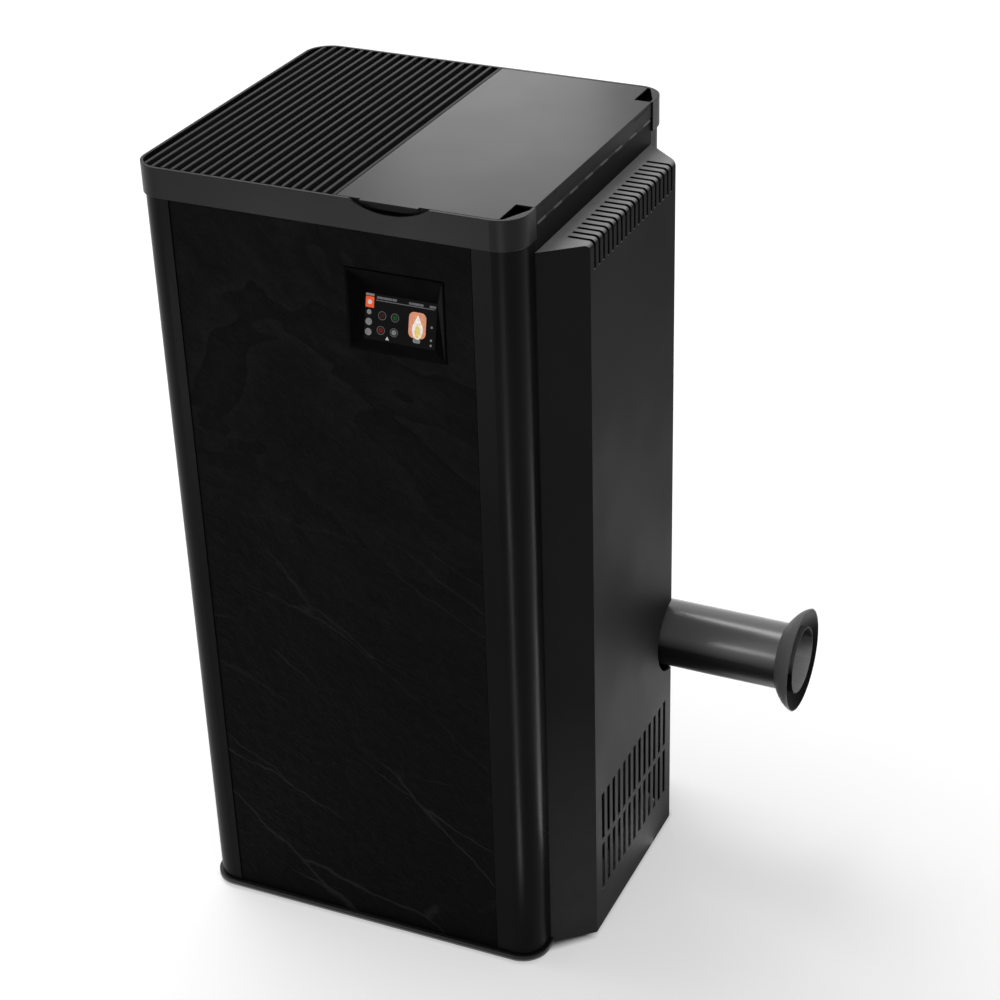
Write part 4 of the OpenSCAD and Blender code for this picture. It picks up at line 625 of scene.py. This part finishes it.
def circuit_board():
    """Green lacquer over a pattern of tracks."""
    material, tree, shader = new_material("circuit_board")
    tracks = tree.nodes.new("ShaderNodeTexBrick")
    tracks.inputs["Scale"].default_value = 90.0
    tracks.inputs["Mortar Size"].default_value = 0.03
    tracks.inputs["Color1"].default_value = (0.004, 0.05, 0.02, 1)
    tracks.inputs["Color2"].default_value = (0.005, 0.07, 0.028, 1)
    tracks.inputs["Mortar"].default_value = (0.02, 0.16, 0.06, 1)
    tree.links.new(object_place(tree, turn=(0, 90, 0)), tracks.inputs["Vector"])
    tree.links.new(tracks.outputs["Color"], shader.inputs["Base Color"])
    roughness = spread(tree, noise(tree, object_place(tree), scale=200.0), 0.3, 0.7, 0.3, 0.5)
    tree.links.new(roughness, shader.inputs["Roughness"])
    return material


def seal_rope():
    """Braided glass fibre rope, with painted shade in the hollows between its strands."""
    painted_hollow_shade, strand_tops = (0.16, 0.15, 0.12, 1), (0.5, 0.48, 0.42, 1)
    material, tree, shader = new_material("seal_rope")
    strands = tree.nodes.new("ShaderNodeTexWave")
    strands.inputs["Scale"].default_value = 260.0
    strands.inputs["Distortion"].default_value = 1.5
    tree.links.new(object_place(tree, turn=(0, 45, 0)), strands.inputs["Vector"])
    wave = strands.outputs["Fac"]
    # Darker in the hollows of the braid: painted shade
    colour = blend_colours(tree, wave, painted_hollow_shade, strand_tops)
    tree.links.new(colour, shader.inputs["Base Color"])
    shader.inputs["Roughness"].default_value = 0.9
    tree.links.new(relief(tree, wave, 0.6, 0.6 * MM), shader.inputs["Normal"])
    return material


def dress(material, *names):
    """Gives CAD nodes a finish."""
    for name in names:
        slots = nodes[name].data.materials
        slots.clear()
        slots.append(material)


# Zinc-coated sheet, in the hopper and elsewhere inside
ZINC = {"dark": 0.28, "light": 0.50, "lines": 0.3, "spangle": 0.6, "matt": 0.36}

casing_coat = coat("casing_coat", dark=0.0020, light=0.0032, matt=0.32, specular=0.06)
back_coat = coat("back_coat", dark=0.0050, light=0.0070, matt=0.60, specular=0.06)
frame_coat = coat("frame_coat", dark=0.004, light=0.006, matt=0.36, edge=1.6 * MM,
                  specular=0.16)
rib_coat = coat("rib_coat", dark=0.020, light=0.028, matt=0.50, edge=1.4 * MM, specular=0.08)
door_coat = coat("door_coat", dark=0.006, light=0.010, matt=0.40, edge=2 * MM, grain=0.2,
                 specular=0.3)
inner_coat = coat("inner_coat", dark=0.030, light=0.045, matt=0.55)
zinc_sheet = sheet_metal("zinc_sheet", **ZINC)
bright_steel = sheet_metal("bright_steel", dark=0.42, light=0.62, lines=1.0, spangle=0.0,
                           matt=0.25)
duct_steel = sheet_metal("duct_steel", dark=0.16, light=0.30, lines=0.8, spangle=0.2,
                         matt=0.42)
firebox_steel = rough_cast("firebox_steel", dark=0.012, light=0.05, grain=220.0, matt=0.75,
                           bump=0.35)
cast_iron = rough_cast("cast_iron", dark=0.010, light=0.04, grain=380.0, matt=0.8, bump=0.6)
liner_board = rough_cast("liner_board", dark=0.05, light=0.26, grain=300.0, matt=0.9,
                         bump=0.7, warm=0.12, patches=6.0)
motor_black = rough_cast("motor_black", dark=0.012, light=0.03, grain=500.0, matt=0.5,
                         bump=0.2)
foam_rubber = rough_cast("foam_rubber", dark=0.006, light=0.015, grain=700.0, matt=0.85,
                         bump=0.5)
inlet_plastic = moulded_plastic("inlet_plastic", (0.010, 0.010, 0.011, 1), matt=0.35)
red_plastic = moulded_plastic("red_plastic", (0.42, 0.012, 0.008, 1), matt=0.28,
                              coat_weight=0.3)
screen_glass = glass_finish("screen_glass", (0.0006, 0.0006, 0.0008, 1), alpha=1.0,
                            roughness=0.12, specular=0.08)
stove_glass = glass_finish("stove_glass", (0.012, 0.010, 0.008, 1), alpha=0.72,
                           roughness=0.06)

dress(casing_coat, "side_casing_right", "side_casing_left", "lower_front_panel",
      "warm_air_panel", "drawer_front")
dress(back_coat, "rear_panel")
dress(frame_coat, "top_frame", "lid_inner_frame")
dress(rib_coat, "ribbed_top")
dress(lid_finish(), "hopper_lid")
dress(inner_coat, "lid_hinge_leaf")
dress(cover_finish(), "rear_cover")
dress(plate_finish(), "base_plate", "levelling_feet")
dress(door_coat, "fire_door", "front_frame")
dress(pipe_finish(), "flue_pipe")
dress(rosette_finish(), "wall_rosette")
dress(slate_finish(), "stone_panel_right", "stone_panel_left")
dress(hopper_finish(), "hopper")
dress(zinc_sheet, "hopper_funnel", "firewall", "ash_drawer", "drawer_runners",
      "pellet_chute", "combustion_air_pipe")
dress(bright_steel, "auger_screw", "lid_hinge_pin", "door_handle", "igniter",
      "flame_sensor", "exhaust_fan_wheel", "glass_clips", "door_hinges")
dress(duct_steel, "smoke_duct", "exhaust_fan_housing", "auger_tube", "exchanger_tubes")
dress(firebox_steel, "firebox")
dress(cast_iron, "burn_pot", "pot_holder")
dress(liner_board, "side_liners", "rear_liner", "baffle_plate")
dress(motor_black, "auger_motor", "exhaust_motor", "room_fan_motor", "room_fan_wheel",
      "room_fan_housing")
dress(foam_rubber, "lid_gasket", "safety_thermostat")
dress(bezel_finish(), "display_bezel")
dress(inlet_plastic, "mains_inlet")
dress(red_plastic, "power_switch", "reset_button")
dress(screen_glass, "display_screen")
dress(stove_glass, "door_glass")
dress(circuit_board(), "control_board")
dress(seal_rope(), "door_seal")


# Picture on the screen

screen_low, screen_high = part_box("display_screen")
SCREEN_CENTRE = Vector((
    screen_high.x - SCREEN_H / 2 * math.sin(SCREEN_TILT),
    (screen_low.y + screen_high.y) / 2,
    (screen_low.z + screen_high.z + SCREEN_T * math.sin(SCREEN_TILT)) / 2,
))
SCREEN_UP = Vector((-math.sin(SCREEN_TILT), 0, math.cos(SCREEN_TILT)))
SCREEN_OUT = Vector((math.cos(SCREEN_TILT), 0, math.sin(SCREEN_TILT)))


def glowing(name, colour, darker=None):
    """Lit pixels: a colour that is a little darker in places, given off as light."""
    material, tree, shader = new_material(name)
    shader.inputs["Base Color"].default_value = grey(0.002)
    shader.inputs["Roughness"].default_value = 0.3
    shader.inputs["Specular IOR Level"].default_value = 0.04
    shader.inputs["Emission Strength"].default_value = 1.0
    grain = noise(tree, object_place(tree), scale=260.0, detail=2.0, roughness=0.5)
    shade = spread(tree, grain, 0.35, 0.65)
    darker = darker or tuple(part * 0.75 for part in colour[:3]) + (1.0,)
    tree.links.new(blend_colours(tree, shade, darker, colour), shader.inputs["Emission Color"])
    return material


def edit(thing):
    bpy.ops.object.select_all(action="DESELECT")
    thing.select_set(True)
    bpy.context.view_layer.objects.active = thing
    bpy.ops.object.mode_set(mode="EDIT")
    bpy.ops.mesh.select_all(action="SELECT")


def leave_edit():
    bpy.ops.object.mode_set(mode="OBJECT")


def settle(thing):
    """Puts an object's place into its mesh, so that the object sits at the origin."""
    thing.data.transform(thing.matrix_world)
    thing.matrix_world = Matrix.Identity(4)


def put_on_screen(thing, name, body="stove"):
    """Turns a flat shape, drawn in X and Y, onto the screen's face."""
    turn = Matrix((
        (0, SCREEN_UP.x, SCREEN_OUT.x),
        (1, SCREEN_UP.y, SCREEN_OUT.y),
        (0, SCREEN_UP.z, SCREEN_OUT.z),
    )).to_4x4()
    settle(thing)
    thing.data.transform(Matrix.Translation(SCREEN_CENTRE) @ turn)
    thing.name = name
    thing.data.name = name
    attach(thing, body)


def finish_icon(icon, name, material):
    """Gives a flat outline the thickness of a printed layer, and puts it on the screen."""
    edit(icon)
    bpy.ops.mesh.extrude_region_move(TRANSFORM_OT_translate={"value": (0, 0, LAYER_THICK)})
    bpy.ops.mesh.inset(thickness=LAYER_RIM, depth=0)
    bpy.ops.mesh.select_all(action="SELECT")
    bpy.ops.mesh.normals_make_consistent(inside=False)
    leave_edit()
    icon.data.materials.append(material)
    put_on_screen(icon, name)


def screen_point(u, v):
    """Shares of the screen from its upper left corner, as X and Y."""
    return (u - 0.5) * SCREEN_W, (0.5 - v) * SCREEN_H


def add_disc(sides, radius, place):
    bpy.ops.object.select_all(action="DESELECT")
    bpy.ops.mesh.primitive_circle_add(
        vertices=sides, radius=radius, fill_type="NGON", location=place)
    return bpy.context.object


def round_icon(name, u, v, radius, material, ring=0.0, sides=40, lift=FIRST_LAYER):
    """A disc, or a ring of that width."""
    icon = add_disc(sides, radius, (*screen_point(u, v), lift))
    if ring:
        edit(icon)
        bpy.ops.mesh.inset(thickness=ring)
        bpy.ops.mesh.delete(type="FACE")
        leave_edit()
    finish_icon(icon, name, material)


def bar_icon(name, u, v, wide, high, material, corner=0.6 * MM):
    """A bar with round corners; its width and height are shares of the screen's."""
    place = (*screen_point(u, v), FIRST_LAYER)
    width, height = wide * SCREEN_W, high * SCREEN_H
    bpy.ops.object.select_all(action="DESELECT")
    bpy.ops.mesh.primitive_plane_add(size=1, location=place)
    icon = bpy.context.object
    edit(icon)
    bpy.ops.transform.resize(value=(width, height, 1), center_override=place)
    bpy.ops.mesh.bevel(offset=min(corner, width / 2.2, height / 2.2), segments=4,
                       affect="VERTICES")
    leave_edit()
    finish_icon(icon, name, material)


def flame_icon(name, u, v, wide, high, lift, material):
    """A drop with its point up; its width and height are shares of the screen's."""
    x, y = screen_point(u, v)
    width, height = wide * SCREEN_W, high * SCREEN_H
    icon = add_disc(48, 1, (0, 0, lift))
    settle(icon)
    for corner in icon.data.vertices:
        upper = max(corner.co.y, 0.0)
        corner.co.x = x + corner.co.x * width / 2 * (1 - 0.75 * upper ** 1.6)
        corner.co.y = y + corner.co.y * height / 2 * (1.0 + 0.25 * upper)
    finish_icon(icon, name, material)


icon_grey = glowing("icon_grey", (0.20, 0.20, 0.20, 1))
icon_pale = glowing("icon_pale", (0.55, 0.55, 0.55, 1))
header_grey = glowing("header_grey", (0.13, 0.13, 0.14, 1))
icon_orange = glowing("icon_orange", (0.85, 0.12, 0.04, 1))
icon_red = glowing("icon_red", (0.12, 0.012, 0.008, 1))
icon_dark_red = glowing("icon_dark_red", (0.035, 0.008, 0.008, 1))
icon_green = glowing("icon_green", (0.008, 0.06, 0.012, 1))
flame_glow = glowing("flame_glow", (0.75, 0.30, 0.14, 1), darker=(0.55, 0.25, 0.18, 1))
flame_white = glowing("flame_white", (0.90, 0.85, 0.80, 1))
flame_yellow = glowing("flame_yellow", (0.85, 0.66, 0.20, 1))

# Tabs down the left; each sign's share of the screen's height from above, and radius
TAB_SIGNS = ((0.41, 3.2 * MM), (0.62, 4.6 * MM), (0.84, 4.6 * MM))
bar_icon("screen_tab_header", 0.065, 0.035, 0.118, 0.05, icon_grey)
bar_icon("screen_tab_active", 0.065, 0.195, 0.118, 0.235, icon_orange)
round_icon("screen_tab_active_sign", 0.065, 0.195, 3.0 * MM, icon_pale, lift=SECOND_LAYER)
for number, (v, radius) in enumerate(TAB_SIGNS, 1):
    round_icon(f"screen_tab_sign_{number}", 0.06, v, radius, icon_grey, sides=24)

# Header; each bar's place and width
HEADER_BARS = (
    (0.245, 0.075, 0.17), (0.335, 0.075, 0.08), (0.41, 0.075, 0.06),
    (0.71, 0.085, 0.20), (0.94, 0.085, 0.09),
)
for number, (u, v, wide) in enumerate(HEADER_BARS, 1):
    bar_icon(f"screen_header_bar_{number}", u, v, wide, 0.05, header_grey)
bar_icon("screen_header_line", 0.56, 0.135, 0.82, 0.018, header_grey)

# Dials; each one's place and the finish of its centre
DIALS = (
    (0.245, 0.45, icon_dark_red), (0.425, 0.45, icon_green),
    (0.235, 0.77, icon_red), (0.42, 0.77, icon_grey),
)
for number, (u, v, centre) in enumerate(DIALS, 1):
    round_icon(f"screen_dial_ring_{number}", u, v, 5.6 * MM, header_grey, ring=0.7 * MM)
    round_icon(f"screen_dial_centre_{number}", u, v, 3.4 * MM, centre)
round_icon("screen_arrow", 0.33, 0.93, 3.0 * MM, icon_pale, sides=3)

# Flame, and the dots beside it
bar_icon("screen_flame_glow", 0.74, 0.53, 0.24, 0.56, flame_glow, corner=7 * MM)
flame_icon("screen_flame_outer", 0.745, 0.60, 0.15, 0.46, SECOND_LAYER, flame_white)
flame_icon("screen_flame_inner", 0.745, 0.66, 0.08, 0.28, THIRD_LAYER, flame_yellow)
bar_icon("screen_flame_base", 0.74, 0.86, 0.10, 0.10, icon_grey, corner=2 * MM)
for number, v in enumerate((0.52, 0.80, 0.91), 1):
    round_icon(f"screen_dot_{number}", 0.94, v, 1.5 * MM, icon_grey, sides=16)


# Studio

def seen_ray(tree):
    """1 for rays that show the surroundings: from the camera, off gloss or through glass."""
    path = tree.nodes.new("ShaderNodeLightPath")
    seen = math_node(tree, "MAXIMUM", path.outputs["Is Camera Ray"],
                     path.outputs["Is Glossy Ray"])
    return math_node(tree, "MAXIMUM", seen, path.outputs["Is Transmission Ray"])


def open_floor(tree):
    """1 on the floor, 0 in the stove's own shade."""
    axes = object_axes(tree)
    from_middle = math_node(tree, "ABSOLUTE", axes["X"])
    limits = (
        (from_middle, SHADE_HALF_WIDTH),
        (axes["Y"], SHADE_Y[1]),
        (times(tree, axes["Y"], -1.0), -SHADE_Y[0]),
        (plus(tree, from_middle, axes["Y"]), SHADE_CORNER),
    )
    past = 0.0
    for reach, limit in limits:
        past_this = spread(tree, reach, limit - SHADE_EDGE, limit)
        past = math_node(tree, "MAXIMUM", past, past_this)
    return past


def make_floor():
    """A wide white floor that keeps the stove's shadow."""
    material, tree, shader = new_material("studio_floor")
    shader.inputs["Base Color"].default_value = grey(FLOOR_TONE)
    shader.inputs["Roughness"].default_value = 0.9
    shader.inputs["Specular IOR Level"].default_value = 0.0
    shader.inputs["Emission Color"].default_value = (1, 1, 1, 1)
    far_off = tree.nodes.new("ShaderNodeVectorMath")
    far_off.operation = "LENGTH"
    tree.links.new(object_coordinates(tree), far_off.inputs[0])
    strength = spread(tree, far_off.outputs["Value"], *GLOW_REACH, FLOOR_GLOW, FAR_GLOW)
    glow = times(tree, times(tree, seen_ray(tree), strength), open_floor(tree))
    tree.links.new(glow, shader.inputs["Emission Strength"])
    bpy.ops.object.select_all(action="DESELECT")
    bpy.ops.mesh.primitive_plane_add(size=FLOOR_SIZE, location=(0, 0, 0))
    floor = bpy.context.object
    floor.name = "studio_floor"
    floor.data.materials.append(material)


def make_lamp(name, place, aim, size, power, size_y=None):
    """An area lamp that faces its aim."""
    light = bpy.data.lights.new(name, "AREA")
    light.energy = power
    light.size = size
    if size_y:
        light.shape = "RECTANGLE"
        light.size_y = size_y
    lamp = bpy.data.objects.new(name, light)
    bpy.context.scene.collection.objects.link(lamp)
    lamp.location = place
    lamp.rotation_euler = (Vector(aim) - Vector(place)).to_track_quat("-Z", "Y").to_euler()
    lamp.visible_camera = False
    return lamp


def make_sheen(name, x, y, length, width, azimuth, power):
    """A strip on the floor that faces up and shows in gloss only; it lights nothing."""
    lamp = make_lamp(name, (x, y, SHEEN_LIFT), (x, y, 1.0), length, power, width)
    lamp.rotation_euler = (math.pi, 0, math.radians(azimuth))
    lamp.visible_diffuse = False


def make_world():
    """Even white light, weaker on the object than where it shows."""
    world = bpy.data.worlds.new("studio_world")
    world.use_nodes = True
    bpy.context.scene.world = world
    tree = world.node_tree
    background = tree.nodes["Background"]
    background.inputs["Color"].default_value = (1, 1, 1, 1)
    strength = spread(tree, seen_ray(tree), 0.0, 1.0, WORLD_LIGHT, 1.0)
    tree.links.new(strength, background.inputs["Strength"])


def make_camera():
    """The photograph's camera, solved from the casing's straight edges."""
    camera = bpy.data.cameras.new("photo_camera")
    camera.sensor_width = SENSOR_WIDTH
    camera.lens = FOCAL_PIXELS / PICTURE_SIZE * SENSOR_WIDTH
    camera.shift_x = (PICTURE_SIZE / 2 - OPTICAL_AXIS_PIXEL[0]) / PICTURE_SIZE
    camera.shift_y = (OPTICAL_AXIS_PIXEL[1] - PICTURE_SIZE / 2) / PICTURE_SIZE
    camera.clip_start, camera.clip_end = CLIP_RANGE
    holder = bpy.data.objects.new("photo_camera", camera)
    bpy.context.scene.collection.objects.link(holder)
    back = Vector((
        math.cos(CAMERA_ELEVATION) * math.cos(CAMERA_AZIMUTH),
        math.cos(CAMERA_ELEVATION) * math.sin(CAMERA_AZIMUTH),
        math.sin(CAMERA_ELEVATION),
    ))
    right = (-back).cross(Vector((0, 0, 1))).normalized()
    up = right.cross(-back)
    cosine, sine = math.cos(CAMERA_ROLL), math.sin(CAMERA_ROLL)
    rolled_right = cosine * right + sine * up
    rolled_up = -sine * right + cosine * up
    turn = Matrix((rolled_right, rolled_up, back)).transposed().to_4x4()
    holder.matrix_world = Matrix.Translation(CAMERA_PLACE) @ turn
    bpy.context.scene.camera = holder


make_floor()
make_world()
make_lamp("top_light", place=(-0.9, -2.2, 6.0), aim=(0, 0, 0.5), size=3.6, power=250)
make_lamp("lid_light", place=(-2.68, -1.14, 2.13), aim=(-0.1, 0.1, 1.1), size=0.6, power=3.1)
pipe_light = make_lamp("pipe_light", place=(2.40, -0.57, 1.58),
                       aim=(FLUE_AXIS[0], 0.42, FLUE_AXIS[1]), size=0.6, power=8)
pipe_light.visible_diffuse = False
make_sheen("band_sheen", x=2.02, y=-1.00, length=0.4, width=0.50, azimuth=0, power=11.0)
make_sheen("cover_sheen", x=-0.76, y=0.64, length=1.0, width=0.32, azimuth=157.5, power=4.4)
make_sheen("column_sheen_near", x=0.86, y=0.45, length=0.9, width=0.05, azimuth=18.0,
           power=2.2)
make_sheen("column_sheen_far", x=1.87, y=0.78, length=1.2, width=0.07, azimuth=18.0,
           power=12.0)
make_sheen("rear_edge_sheen", x=-0.59, y=0.88, length=1.5, width=0.28, azimuth=143.0,
           power=5.4)
make_camera()
bpy.context.scene.view_settings.view_transform = "Standard"
